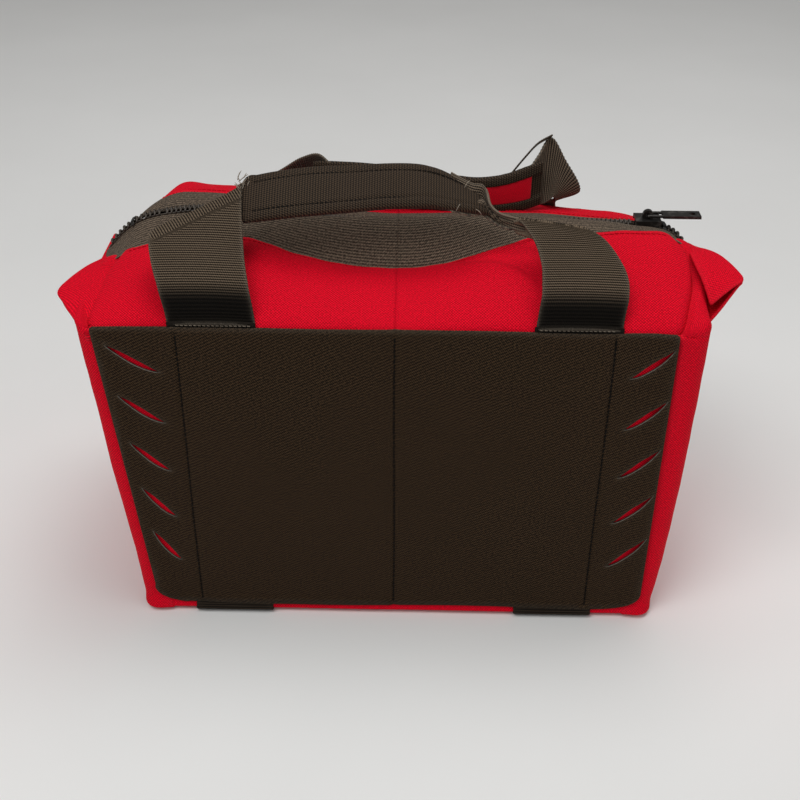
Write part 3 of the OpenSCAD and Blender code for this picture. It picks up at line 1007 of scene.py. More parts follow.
def panel_points(half, x, t):
    """Points of a top panel: up the wall's last bit, over a soft shoulder and on to its tape."""
    seam = curve(x, SEAM[half])
    out, height = seam[..., 0], seam[..., 1]
    sag = bump(x, 5, 70)
    lift = 11.5 - 1.5 * sag - 4 * smooth(150, 186, np.abs(x))
    limp = 0.0
    if half == REAR:
        lift = lift - 2.0 * smooth(60, 160, x)
        limp = smooth(146, 160, -x) + 0.55 * smooth(50, 95, x) + 0.45 * smooth(140, 165, x)
        lift = lift * (1 - limp) + 2.5 * limp
    p0 = np.array([HALF_DEPTH + 0.6, WALL_TOP])
    p1 = p0 + np.stack(np.broadcast_arrays(0.6, lift), axis=-1)
    p3 = np.stack([out, height], axis=-1)
    p2 = p3 + np.stack(np.broadcast_arrays(26.0, -2 + 10 * sag - 8 * limp), axis=-1)
    body = bezier(p0, p1, p2, p3, t)
    if half == REAR:
        body[..., 1] -= 6.0 * smooth(151, 163, -x) * bump(t, 0.6, 0.3)
    return np.stack([x, half * body[..., 0], body[..., 1]], axis=-1)


def tape_points(half, x, t):
    """Points of a zip tape from its seam (0) over its crest to the coil (1)."""
    seam, crest = curve(x, SEAM[half]), curve(x, CREST[half])
    inner = np.stack(np.broadcast_arrays(COIL_HALF, curve(x, ZIP)), axis=-1)
    under = seam + np.array([2.2, -0.7])
    mid = crest * 1.5 - under * 0.25 - inner * 0.25
    tt = t[..., None]
    body = (1 - tt) ** 2 * under + 2 * tt * (1 - tt) * mid + tt**2 * inner
    return np.stack([x, half * body[..., 0], body[..., 1]], axis=-1)


def blend_in(piece):
    """Bakes a piece of the top's placement into its mesh."""
    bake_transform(piece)


def seam_groove(gap):
    """How far the cloth is drawn in beside the seam between a top panel and an end."""
    return -3.2 * bump(gap, 0, 2.2)


def top_panel(half, side):
    """One half of the front or rear top panel, from the bag's middle to its end seam."""
    word, hand = WORD[half], HAND[side]
    t = np.concatenate([np.zeros(4), np.linspace(0, 1, 46)])
    drop = np.concatenate([np.linspace(PANEL_FOOT, PANEL_FOOT / 4, 4), np.zeros(46)])
    end = curve(t, PANEL_END[(half, side)])
    across = np.linspace(0, 1, 100)
    x = side * end[:, None] * across
    tt = np.broadcast_to(t[:, None], x.shape)
    points = panel_points(half, x, tt)
    points[..., 2] -= drop[:, None]
    below = np.array([0, half * 40.0, 150])
    n = facing(points, below)
    soft = smooth(0, 0.2, tt) * (1 - smooth(0.85, 1, tt))
    fold = 0.9 * wrinkle(points * (0.8, 1.3, 1), 42, 51 + half) * soft
    fold += 0.3 * wrinkle(points, 11, 57 + half) * soft
    pucker = 0.12 * np.sin(x / 3.1 + 2 * wrinkle(points, 25, 61)) * (1 - smooth(0, 9, (1 - tt) * 70))
    if half == FRONT:
        crease = curve(x, CREASE)
        fold -= 3.4 * smooth(0, 0.12, tt - crease) * bump(x, 60, 27) * (1 - smooth(0.9, 1, tt))
        fold += 1.3 * bump(tt, crease, 0.09) * bump(x, 45, 40)
    if half == REAR and side < 0:
        fold += 3.0 * bump(x, -144, 9) * bump(tt, 0.7, 0.2)
    groove = seam_groove(end[:, None] - np.abs(x)) * np.where(drop[:, None] > 0, 0, 1)
    points += n * ((fold + pucker) * np.where(drop[:, None] > 0, 0, 1) + groove)[..., None]
    points = slump(points)
    flat = np.stack([x, lengths(points, 0)], axis=2)
    piece = skin(f"{word}_top_panel_{hand}", points, CLOTH, below, red_cloth, flat, joined=(0,))
    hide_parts(f"{word}_top_panel")
    blend_in(piece)

    thread = Strands(6)
    xs = np.linspace(2, end[-1] - 3, 120) * side
    row = panel_points(half, xs, np.full_like(xs, 0.955))
    row[:, 2] += 0.15
    sew(thread, row, (0, half * 0.3, 0.95), radius=0.3)
    stitches = thread.build(f"{word}_top_stitching_{hand}", red_thread)
    blend_in(stitches)


def tape_grid(half, xs):
    """A grid of one tape's upper face, with its fine ribs and a few slack spots."""
    x, tt = np.meshgrid(xs, np.linspace(0, 1, 46))
    points = tape_points(half, x, tt)
    n = facing(points, np.array([0, half * 10.0, 150]))
    rib = 0.10 * np.cos(2 * math.pi * tt * 20) + 0.25 * wrinkle(points, 16, 71 + half)
    return points + n * rib[..., None], x


def zip_tape(half, side):
    """One half of the front or rear zip tape, from the bag's middle to the end of the mouth."""
    word, hand = WORD[half], HAND[side]
    points, x = tape_grid(half, side * np.linspace(0, MOUTH_HALF, 90))
    flat = np.stack([x, lengths(points, 0)], axis=2)
    below = np.array([0, half * 10.0, 150])
    name = f"{word}_zip_tape_{hand}"
    piece = skin(name, points, 1.0, below, tape_cloth, flat, seam=1.2, joined=(0, -1))
    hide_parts(f"{word}_zip_tape")
    blend_in(piece)


TOOTH = 2.9         # distance between coil teeth of one row
TOOTH_R = 0.62
TOOTH_OUT = 4.7     # where a tooth starts, from the middle of the zip
TOOTH_LONG = 5.3    # how far it reaches across
CORD_OUT = 3.4      # where the cord inside each row runs


def coil(half, side, low, high):
    """Teeth of one coil row between two distances from the middle, with the cord that they wrap."""
    strands = Strands(7)
    count = int((high - low) / TOOTH)
    shift = 0 if half == FRONT else TOOTH / 2
    for k in range(count):
        x = side * (low + 0.8 + shift + k * TOOTH)
        if abs(x) > high - 0.6:
            continue
        base = float(curve(x, ZIP))
        slope = (float(curve(x + 1, ZIP)) - float(curve(x - 1, ZIP))) / 2
        up = np.array([-slope, 0, 1]) / math.hypot(slope, 1)
        line = []
        for a in np.linspace(0, 1, 9):
            y = half * (TOOTH_OUT - TOOTH_LONG * a)
            rise_up = 0.35 + 1.25 * math.sin(math.pi * min(1, a * 1.05 + 0.02)) ** 0.6
            line.append(np.array([x + 0.5 * (a - 0.5), y, base]) + up * rise_up)
        strands.add(line, [TOOTH_R * 0.8] + [TOOTH_R] * 6 + [TOOTH_R * 1.15, TOOTH_R * 0.9])
    xs = side * np.linspace(low, high, 60)
    cord = [np.array([x, half * CORD_OUT, float(curve(x, ZIP)) + 0.3]) for x in xs]
    strands.add(cord, 0.5)
    return strands


def zip_coil(half, side):
    """One half of the front or rear coil row along the mouth."""
    word, hand = WORD[half], HAND[side]
    piece = coil(half, side, 0, MOUTH_HALF).build(f"{word}_zip_coil_{hand}", coil_nylon)
    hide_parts(f"{word}_zip_coil")
    blend_in(piece)


def zip_end(side):
    """The fixed end of the zip, running on past the mouth and down over the bag's end."""
    hand = HAND[side]
    for half in (FRONT, REAR):
        word = WORD[half]
        points, _ = tape_grid(half, side * np.linspace(MOUTH_HALF, ZIP_REACH[side], 44))
        flat = np.stack([lengths(points, 1) + MOUTH_HALF, lengths(points, 0)], axis=2)
        below = np.array([0, 0, 150.0])
        name = f"{hand}_zip_end_tape_{word}"
        piece = skin(name, points, 1.0, below, tape_cloth, flat, seam=1.2, joined=(0,))
        settle(piece, "zip_tape", "shell", f"{hand}_zip_end")
        row = coil(half, side, MOUTH_HALF, ZIP_REACH[side] - 3)
        row = row.build(f"{hand}_zip_end_coil_{word}", coil_nylon)
        settle(row, "zip_coil", "shell")


# ---- The ends of the top and their folded corners ----------------------------------------------


LIP_TOP = 221.5     # top of the strip of cloth under each end of the zip
LIP_HALF = 23.5     # half its width
# How steeply the cloth at each end stands up from the end panel, as a share of its span
END_STAND = {(LEFT, FRONT): 0.42, (RIGHT, FRONT): 0.62, (LEFT, REAR): 0.16, (RIGHT, REAR): 0.3}


def top_end(side):
    """Cloth from each end panel's top edge, over a soft shoulder, to the top panels and the zip."""
    hand = HAND[side]
    e = float(edge_x(side, WALL_TOP))
    deep = HALF_DEPTH + ROLL_OUT
    for half in (FRONT, REAR):
        stand = END_STAND[(side, half)]
        u = np.linspace(0, 1, 60)
        ends = curve(u, PANEL_END[(half, side)])
        inner = panel_points(half, side * ends, u)
        lie = panel_points(half, side * (ends - 3), u)
        inner_way = inner - lie
        inner_way /= np.linalg.norm(inner_way, axis=1, keepdims=True)
        arc = np.linspace(0, math.pi / 2, 16)
        corner = [(e - CORNER + CORNER * math.sin(a), (deep - CORNER) + CORNER * math.cos(a)) for a in arc]
        straight = [(e, y) for y in np.linspace(deep - CORNER, 23, 40)[1:]]
        border = np.array([(side * x, half * y, WALL_TOP) for x, y in corner + straight])
        outer = along(border, u**0.9)
        span = np.linalg.norm(inner - outer, axis=1)
        v = np.linspace(0, 1, 22)
        up = np.array([0, 0, 1.0])
        away = np.array([-0.075 if side < 0 else -0.015, 0, 0])
        p0 = outer[:, None, :]
        p1 = (outer + (up + away) * (span * stand)[:, None])[:, None, :]
        p2 = (inner + inner_way * (span * 0.36)[:, None])[:, None, :]
        p3 = inner[:, None, :]
        points = bezier(p0, p1, p2, p3, np.broadcast_to(v, (len(u), len(v))))
        below = np.array([side * 120.0, 0, 180])
        n = facing(points, below)
        groove = seam_groove((1 - v)[None, :] * span[:, None])
        swell = (1.5 if half == FRONT else 0) * np.sin(math.pi * v)[None, :] * smooth(0, 0.15, u)[:, None]
        fold = 0.8 * wrinkle(points, 20, 81 + half + side) * np.sin(math.pi * v)[None, :]
        points += n * (groove + swell + fold)[..., None]
        tucked = points[:1] + (0, -1.5 * half, -5)
        points = np.concatenate([tucked, points])
        name = f"{hand}_top_end_{WORD[half]}"
        piece = skin(name, slump(points), CLOTH, below, red_cloth, joined=(0,))
        settle(piece, "red_fabric", "shell", f"{hand}_top_end")
    y = np.linspace(-LIP_HALF, LIP_HALF, 24)
    z = np.linspace(WALL_TOP, LIP_TOP, 8)
    yy, zz = np.meshgrid(y, z)
    x = side * (e + 1.2 * np.sin((zz - WALL_TOP) / 7 * math.pi / 2))
    points = np.stack([x, yy, zz], axis=2)
    piece = skin(f"{hand}_top_end_lip", points, CLOTH, INSIDE, red_cloth)
    settle(piece, "red_fabric", "shell")


EAR = {
    # from the front (0) to the back (1): (inner root), (outer fold), (lower root), each (x, y, z)
    -1: (
        (0, ((180, -88, 216), (188, -87, 217), (186, -86, 212))),
        (0.25, ((174, -78, 220), (198, -72, 220.5), (187, -76, 212))),
        (0.48, ((171, -60, 224), (205, -57, 221), (187.5, -60, 212))),
        (0.72, ((172, -36, 225), (197.5, -34, 222.5), (187, -38, 214))),
        (1, ((178, -10, 219), (187, -10, 221), (185, -10, 217))),
    ),
    1: (
        (0, ((185.5, -77, 229), (203.5, -67, 237.5), (183.5, -79, 213.5))),
        (0.15, ((183, -69, 236), (206, -59, 237.5), (185, -68, 215))),
        (0.5, ((180, -40, 241), (200, -36, 238.5), (186, -40, 220))),
        (1, ((181, -8, 236), (188, -8, 232), (186, -8, 225))),
    ),
}


def ear(side):
    """Spare cloth of the corner, folded outward into a flat pocket that is open towards the front."""
    u = np.linspace(0, 1, 60)
    inner, fold, lower = (curve(u, [(at, np.array(p[k], float)) for at, p in EAR[side]]) for k in range(3))
    w = np.linspace(0, 1, 45)
    up = np.array([0, 0, 1.0])
    rows = []
    for a, b, c in zip(inner, fold, lower, strict=True):
        over, under = (a + b) / 2 + up * 1.6, (b + c) / 2 + np.array([1.0, 0, -0.8])
        stops = [(0, a), (0.22, over), (0.44, b + up * 1.3), (0.5, b + (1.0, 0, 0)), (0.56, b - up * 1.3)]
        rows.append(curve(w, stops + [(0.78, under), (1, c)]))
    points = np.array(rows) * (side, 1, 1)
    core = np.array([side * 184.0, -48.0, 226])
    n = facing(points, core)
    points += n * (0.5 * wrinkle(points, 15, 91 + side))[..., None]
    piece = skin(f"{HAND[side]}_ear_fold", points, CLOTH * 0.9, core, red_cloth, seam=2.0)
    settle(piece, "red_fabric", "shell", f"{HAND[side]}_ear")


# ---- Handles -----------------------------------------------------------------------------------


def on_handle(half, x, s, n):
    """A point of a handle: x across, s up its sloping plane from the hinge, n out of that plane."""
    c, k = math.cos(HANDLE_SLOPE), math.sin(HANDLE_SLOPE)
    y = -(HANDLE_Y - s * c) - n * k
    z = HANDLE_Z + s * k + n * c
    return np.stack(np.broadcast_arrays(x, y if half == FRONT else -y, z), axis=-1)


def overhang(s):
    """The webbing bulges out over its sewn foot before it lies back along its slope."""
    return 9.0 * smooth(4, 14, s) * (1 - 0.72 * smooth(18, 55, s)) - 2.0 * (1 - smooth(0, 6, s))


def ribbon(outer, inner, rows, cols, crown=0.0):
    """A grid between two edges given as (share, (x, s, n)) stops, bulging along n by crown."""
    v, w = np.linspace(0, 1, rows), np.linspace(0, 1, cols)
    a, b = curve(v, outer), curve(v, inner)
    mesh = a[:, None, :] * (1 - w)[None, :, None] + b[:, None, :] * w[None, :, None]
    mesh[..., 2] += crown * np.sin(math.pi * w)[None, :]
    return mesh, v, w


def webbing_piece(name, points, below, material, flat, node=None, thick=WEBBING):
    """A skin with the square selvedges of webbing."""
    piece = skin(name, points, thick, below, material, flat, seam=1.0, swell=0.3)
    if node:
        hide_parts(node)
    return piece


def sewn_foot(piece):
    """Bakes a strap's placement into its mesh."""
    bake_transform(piece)


def front_left_strap():
    """Up from the overlay, leaning outward, then turned over along a diagonal towards the grip."""
    outer = (
        (0, (-132.2, -1.0, 0.4)), (0.2, (-136.5, 16, 1.2)), (0.42, (-142.6, 35, 2.2)),
        (0.58, (-145.3, 49, 2.6)), (0.68, (-144.6, 57.5, 1.6)), (0.84, (-121.5, 71.2, 0.6)),
        (1, (-96.8, 86.4, 0.2)),
    )
    inner = (
        (0, (-81.4, -1.0, 0.4)), (0.2, (-84.4, 15, 1.2)), (0.42, (-88.6, 36, 2.2)), (0.68, (-91.8, 60, 2.4)),
        (0.86, (-93.2, 78, 1.6)), (1, (-93.6, 86.6, 0.6)),
    )
    grid, _, w = ribbon(outer, inner, 330, 120, 1.6)
    x, s = grid[..., 0], grid[..., 1]
    # The diagonal fold runs from (fold_x, fold_s) in the direction (fold_dx, fold_ds)
    fold_x, fold_s, fold_dx, fold_ds = -144.8, 57.7, 0.862, 0.507
    ahead = (x - fold_x) * fold_dx + (s - fold_s) * fold_ds
    behind = (x - fold_x) * fold_ds - (s - fold_s) * fold_dx
    turned = (1 - smooth(9, 11, behind)) * smooth(44, 49, s + 0.25 * ahead)
    phase = s * (1 - turned) + (ahead + 40 * RIB) * turned
    rib = 0.26 * ribbed(phase) * (1 - 4 * turned * (1 - turned))
    roll = np.clip(1 - behind / 8, 0, 1) ** 2 * smooth(44, 58, s)
    fade = np.minimum(1, 30 * np.minimum(w, 1 - w))[None, :]
    grid[..., 2] += rib * fade - 3.6 * roll + overhang(s)
    grid[..., 2] += 0.8 * wrinkle(np.stack([x, s, s * 0], axis=2), 26, 101)
    points = on_handle(FRONT, grid[..., 0], grid[..., 1], grid[..., 2])
    flat = np.stack([x, phase], axis=2)
    below = np.array([-110.0, -20, 200])
    piece = webbing_piece("front_left_strap_web", points, below, strap_web_foot_shade, flat, "front_left_strap")
    sewn_foot(piece)


def front_right_strap():
    """Up from the overlay and rolled back over its own top edge where it twists into the grip."""
    outer = (
        (0, (132.0, -1.0, 0.4)), (0.2, (134.3, 22, 1.4)), (0.42, (129.5, 41, 2.4)), (0.58, (121.5, 54, 2.6)),
        (0.72, (112, 60, 1.0)), (0.86, (108, 58, -4.0)), (1, (104, 48, -7.5)),
    )
    inner = (
        (0, (82.2, -1.0, 0.4)), (0.2, (84.8, 20, 1.4)), (0.42, (84.6, 38, 2.4)), (0.58, (80.8, 52.5, 2.8)),
        (0.72, (72.5, 65.5, 1.6)), (0.86, (68.5, 66.5, -4)), (1, (72, 62, -8.0)),
    )
    grid, _, w = ribbon(outer, inner, 330, 90, 1.4)
    x, s = grid[..., 0].copy(), grid[..., 1].copy()
    run = lengths(grid, 0)
    fade = np.minimum(1, 30 * np.minimum(w, 1 - w))[None, :]
    grid[..., 2] += 0.26 * ribbed(run) * fade + overhang(s)
    grid[..., 2] += 0.8 * wrinkle(np.stack([x, s, s * 0], axis=2), 24, 103)
    points = on_handle(FRONT, grid[..., 0], grid[..., 1], grid[..., 2])
    flat = np.stack([x, run], axis=2)
    below = np.array([110.0, -20, 200])
    piece = webbing_piece("front_right_strap_web", points, below, strap_web_foot_shade, flat, "front_right_strap")
    sewn_foot(piece)


# (x, (lower edge, upper edge, lift out of the plane, thickness, roll about its length in degrees))
FRONT_GRIP = (
    (-95, (74, 88, -1.0, 2.4, 0)), (-91, (63, 93, 0.5, 4.0, 0)), (-84, (63.5, 94.5, 1.0, 6.0, 0)),
    (-59, (66.8, 98.6, 1.5, 7.0, 0)), (-29, (70.4, 101.2, 1.5, 7.4, 0)), (1, (73.4, 102.8, 1.5, 7.4, 0)),
    (19, (73.4, 101.4, 1.5, 7.2, -4)), (34, (71.5, 95.5, 1.0, 6.6, -8)), (46, (70, 88, 0.5, 6.0, -14)),
    (53, (70, 81, -0.5, 4.6, -20)), (58, (68, 75, -1.5, 3.0, -24)),
)


GRIP_ROW = 0.62     # how far out the grip's rows of stitches run, as a share of its half width


def soft_ring(a, power):
    """A flattened loop of unit half size at angles a, with the section of folded webbing."""
    cx = np.sign(np.cos(a)) * np.abs(np.cos(a)) ** 0.42
    return cx, np.sign(np.sin(a)) * np.abs(np.sin(a)) ** power


def front_grip_rows():
    """Rings of the front grip: a flat loop with soft edges, in the handle's own places."""
    x = np.linspace(FRONT_GRIP[0][0], FRONT_GRIP[-1][0], 300)
    shape = curve(x, FRONT_GRIP)
    a = np.linspace(0, 2 * math.pi, 88, endpoint=False)
    low, high, lift, thick, roll = shape.T
    centre, half = (low + high) / 2, (high - low) / 2
    cx, cy = soft_ring(a, 0.62)
    s = half[:, None] * cx[None, :]
    n = thick[:, None] / 2 * cy[None, :]
    turn = np.radians(roll)[:, None]
    ss = centre[:, None] + s * np.cos(turn) - n * np.sin(turn)
    nn = lift[:, None] + s * np.sin(turn) + n * np.cos(turn)
    return x, s, n, ss, nn, half, thick


def closed_rings(name, rings, flat, material):
    """A tube of rings with closed ends."""
    rows, count = rings.shape[:2]
    verts = rings.reshape(-1, 3)
    faces = []
    for k in range(rows - 1):
        for s in range(count):
            t = (s + 1) % count
            p, q = k * count, (k + 1) * count
            faces.append([p + s, q + s, q + t, p + t])
    faces.append(list(range(count)))
    faces.append([(rows - 1) * count + s for s in range(count - 1, -1, -1)])
    return make(name, verts, faces, flat.reshape(-1, 2), material)


def grip_swell(x, s):
    """The slow unevenness shared by all the pieces of the front grip."""
    return 0.9 * wrinkle(np.stack([x, s, 0 * s], axis=-1), 30, 111)


def front_grip():
    """The folded grip with its two rows of stitching and a frayed corner where the left strap turns in."""
    x, s, n, ss, nn, half, thick = front_grip_rows()
    top_side = smooth(-0.2, 0.4, n / thick[:, None] * 2)
    share = s / half[:, None]
    rib_a = 0.13 * ribbed(s) * top_side
    rib_b = 0.04 * ribbed(x[:, None])
    rows_sewn = -0.5 * (bump(share, GRIP_ROW, 0.05) + bump(share, -GRIP_ROW, 0.05))
    puff = 0.5 * (1 - share**2)
    nn = nn + (rib_a + rib_b + rows_sewn + puff) * np.sign(n)
    xx = np.broadcast_to(x[:, None], ss.shape)
    nn = nn + grip_swell(xx, ss)
    rings = on_handle(FRONT, xx, ss, nn)
    flat = np.stack([s + 40 * (n < 0), xx], axis=2)
    piece = closed_rings("front_grip_web", rings, flat, grip_web)
    settle(piece, "dark_webbing", "front_handle", "front_grip")

    thread = Strands(6)
    lengthwise = np.linspace(-86, 40, 120)
    shape = curve(lengthwise, FRONT_GRIP)
    for at in (-GRIP_ROW, GRIP_ROW):
        centre, h = (shape[:, 0] + shape[:, 1]) / 2, (shape[:, 1] - shape[:, 0]) / 2
        out = shape[:, 2] + shape[:, 3] / 2 * 0.80 + 0.25
        out = out + grip_swell(lengthwise, centre + at * h)
        path = on_handle(FRONT, lengthwise, centre + at * h, out)
        sew(thread, path, (0, -0.64, 0.77), pitch=2.9, length=2.0, radius=0.34)
    stitches = thread.build("front_grip_stitching", dark_thread)
    settle(stitches, "dark_webbing", "front_handle")

    loose = Strands(5)
    for _ in range(26):
        at = (-94 + random.uniform(-2.5, 5), 87 + random.uniform(-3, 6))
        way = (random.uniform(-1, 0.9), random.uniform(0.0, 1.0))
        length = random.uniform(2.0, 5.0)
        line = [
            on_handle(
                FRONT, at[0] + way[0] * length * q, at[1] + way[1] * length * q, 2.0 + 2.2 * q * (1 - 0.4 * q)
            )
            for q in np.linspace(0, 1, 5)
        ]
        loose.add(line, [0.3, 0.3, 0.26, 0.22, 0.14])
    for x0, s0, dx, ds in ((38, 76, -3.0, -5.5), (40, 86, 3.0, 4.5), (46, 72, 4.0, -3.5)):
        line = [
            on_handle(FRONT, x0 + dx * q, s0 + ds * q, 4.5 + 1.5 * math.sin(3 * q))
            for q in np.linspace(0, 1, 7)
        ]
        loose.add(line, 0.22)
    ends = loose.build("front_grip_loose_threads", loose_thread)
    settle(ends, "dark_webbing", "front_handle")


def front_twist():
    """Where the grip's webbing bunches and turns over into the right strap."""
    upper = (
        (0, (32, 97.0, 2.5)), (0.2, (44, 89.5, 3.5)), (0.36, (51.5, 86.0, 5.0)), (0.5, (54.5, 75, 4.0)),
        (0.64, (60.5, 69.5, 3.0)), (0.8, (72.5, 66.8, 2.2)), (1, (88, 62.8, 1.2)),
    )
    lower = (
        (0, (30, 72.2, 3.0)), (0.2, (44, 69.5, 3.0)), (0.36, (51, 71.0, 2.0)), (0.5, (55, 69.0, 0.5)),
        (0.64, (61, 65, -1.0)), (0.8, (71, 62, -2.0)), (1, (86, 58, -2.5)),
    )
    grid, v, w = ribbon(upper, lower, 150, 50, 0.0)
    vv, ww = np.meshgrid(v, w, indexing="ij")
    pleat = np.sin(ww * math.pi * 3.4 + 3 * vv) * np.sin(math.pi * np.clip(vv * 1.25, 0, 1))
    grid[..., 2] += 1.7 * pleat + 0.16 * ribbed(lengths(grid, 1))
    points = on_handle(FRONT, grid[..., 0], grid[..., 1], grid[..., 2])
    flat = np.stack([lengths(grid, 0), lengths(grid, 1)], axis=2)
    piece = webbing_piece("front_grip_twist", points, np.array([60.0, -20, 200]), strap_web, flat, thick=1.5)
    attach(piece, "front_handle")


def front_grip_lining():
    """The red strip inside the front grip's fold, on its under face."""
    x = np.linspace(-80, 44, 120)
    shape = curve(x, FRONT_GRIP)
    w = np.linspace(-1, 1, 16)
    centre = (shape[:, 0] + shape[:, 1]) / 2
    s = centre[:, None] + 6.6 * w[None, :]
    n = (shape[:, 2] - shape[:, 3] / 2)[:, None] - 0.3 - 0.5 * (1 - w**2)[None, :]
    xx = np.broadcast_to(x[:, None], s.shape)
    n = n + grip_swell(xx, s)
    points = on_handle(FRONT, xx, s, n)
    inside = on_handle(FRONT, 0, 88, 20)
    piece = skin("front_grip_lining_strip", points, 0.9, inside, red_lining)
    settle(piece, "red_fabric", "front_handle", "front_grip_lining")


# The rear grip lies lower and stands on edge: (x, (y, lower z, upper z, thickness))
REAR_GRIP = (
    (-56, (34, 246, 270, 3.0)), (-48, (33, 244, 271, 5.5)), (-20, (32, 242.5, 270, 7)),
    (20, (31, 239.5, 266, 7.2)), (50, (30.5, 237.5, 262, 7.2)), (70, (31, 238.5, 264.5, 7)),
    (84, (31.5, 240.5, 270, 6.2)), (93, (33, 243, 273, 4.0)),
)


def rear_grip():
    """The rear grip, seen from inside its fold: webbing edges above and below a red lining strip."""
    x = np.linspace(REAR_GRIP[0][0], REAR_GRIP[-1][0], 260)
    shape = curve(x, REAR_GRIP)
    y0, low, high, thick = shape.T
    a = np.linspace(0, 2 * math.pi, 72, endpoint=False)
    cx, cy = soft_ring(a, 0.6)
    centre, half = (low + high) / 2, (high - low) / 2
    z = centre[:, None] + half[:, None] * cx
    depth = thick[:, None] / 2 * cy
    channel = 1.6 * (cy < 0) * (1 - smooth(0.50, 0.56, np.abs(cx)))[None, :]
    rib = 0.14 * ribbed(z) + 0.12 * ribbed(x[:, None])
    y = y0[:, None] + depth + channel + rib * np.sign(cy)
    xx = np.broadcast_to(x[:, None], z.shape)
    y = y + 0.8 * wrinkle(np.stack([xx, z, 0 * z], axis=2), 30, 121)
    rings = np.stack([xx, y, z], axis=2)
    flat = np.stack([z, xx], axis=2)
    piece = closed_rings("rear_grip_web", rings, flat, grip_web)
    settle(piece, "dark_webbing", "rear_handle", "rear_grip")

    w = np.linspace(-1, 1, 18)
    xs = np.linspace(-44, 86, 120)
    shape = curve(xs, REAR_GRIP)
    mid, span = (shape[:, 1] + shape[:, 2]) / 2, (shape[:, 2] - shape[:, 1]) / 2
    zz = mid[:, None] + 0.50 * span[:, None] * w[None, :]
    yy = (shape[:, 0] - shape[:, 3] / 2)[:, None] + 0.9 - 0.35 * (1 - w**2)[None, :]
    xx = np.broadcast_to(xs[:, None], zz.shape)
    yy = yy + 0.8 * wrinkle(np.stack([xx, zz, 0 * zz], axis=2), 30, 121)
    points = np.stack([xx, yy, zz], axis=2)
    strip = skin("rear_grip_lining_strip", points, 0.9, np.array([20.0, 60, 250]), red_lining)
    settle(strip, "red_fabric", "rear_handle", "rear_grip_lining")


def rear_grip_back_layer():
    """The fold's far layer of webbing, arching from the band up to the flare's tip, seen on edge."""
    path = curve(
        np.linspace(0, 1, 60),
        [(0, np.array([74, 38, 264.0])), (0.35, np.array([82, 39, 274.5])), (0.7, np.array([90, 41, 283])),
         (1, np.array([98.5, 43, 287.5]))],
    )
    across = np.array([0.05, 0.9, -0.42])
    w = np.linspace(0, 13, 14)
    points = path[:, None, :] + across * w[None, :, None]
    points[..., 2] += 0.12 * ribbed(lengths(points, 0))
    flat = np.stack([lengths(points, 1), lengths(points, 0)], axis=2)
    below = np.array([90.0, 50, 240])
    piece = webbing_piece("rear_grip_back_layer", points, below, grip_web, flat, thick=1.1)
    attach(piece, "rear_handle")


REAR_STRAPS = {
    # edges as (share, (x, y, z)): first the one that meets the grip's upper edge, then the lower
    1: (
        (
            (0, (86, 31.0, 270)), (0.12, (91.5, 37, 276)), (0.24, (98.4, 46, 283.8)),
            (0.42, (109, 45, 269.5)), (0.56, (120.5, 46, 247.5)), (0.66, (106, 54, 236)),
            (0.8, (112, 78, 225)), (1, (132.4, 97.5, 222.5)),
        ),
        (
            (0, (87, 31.0, 243)), (0.12, (91, 32, 243)), (0.24, (96, 33, 244)), (0.42, (102, 36, 247)),
            (0.56, (104, 42, 242)), (0.66, (95, 50, 236)), (0.8, (88, 76, 225)), (1, (81.6, 97.5, 222.5)),
        ),
    ),
    -1: (
        (
            (0, (-44, 32, 270)), (0.12, (-52, 38, 274)), (0.26, (-64, 46, 268.5)), (0.45, (-84, 58, 253)),
            (0.7, (-114, 80, 234)), (1, (-132.4, 97.5, 222.5)),
        ),
        (
            (0, (-46, 32, 245)), (0.12, (-52, 38, 245)), (0.26, (-56, 50, 245)), (0.45, (-62, 66, 238)),
            (0.7, (-74, 84, 231)), (1, (-81.6, 97.5, 222.5)),
        ),
    ),
}


def rear_strap(side):
    """A rear strap flaring out of the grip and lying back down to its sewn foot."""
    upper, lower = REAR_STRAPS[side]
    grid, v, w = ribbon(upper, lower, 240, 60)
    run = np.broadcast_to(lengths(grid, 0).mean(axis=1, keepdims=True), grid.shape[:2])
    below = np.array([side * 100.0, 60, 200])
    n = facing(grid, below)
    fade = np.minimum(1, 30 * np.minimum(w, 1 - w))[None, :]
    cup = -1.0 * np.sin(math.pi * w)[None, :] * bump(v, 0.32, 0.2)[:, None]
    relief = 0.18 * ribbed(run) * fade + cup + 0.6 * wrinkle(grid, 24, 131 + side)
    points = grid + n * relief[..., None]
    points += (slump(points) - points) * smooth(0.58, 0.8, v)[:, None, None]
    flat = np.stack([lengths(grid, 1), run], axis=2)
    name = f"rear_{HAND[side]}_strap"
    piece = webbing_piece(f"{name}_web", points, below, strap_web, flat, name, thick=1.5)
    sewn_foot(piece)


def strap_feet():
    """The last of each strap above the overlay, sewn down with a row of stitches."""
    for half in (FRONT, REAR):
        thread = Strands(6)
        for side in (LEFT, RIGHT):
            x = side * np.linspace(WEB_IN + 2.5, WEB_OUT - 2.5, 30)
            path = np.stack(np.broadcast_arrays(x, half * (HALF_DEPTH + 2.0), WALL_TOP + 4.3), axis=1)
            sew(thread, slump(path), (0, half, 0), pitch=2.6, length=1.5, radius=0.34)
        piece = thread.build(f"{WORD[half]}_strap_foot_stitching", foot_thread)
        settle(piece, "dark_webbing", "shell")


# ---- Hardware from the frame -------------------------------------------------------------------


def hardware():
    """The slider and the puller keep their CAD shapes and take a cast finish."""
    for node in ("zip_slider", "zip_puller"):
        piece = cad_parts[node]
        piece.data.materials.clear()
        piece.data.materials.append(gunmetal)


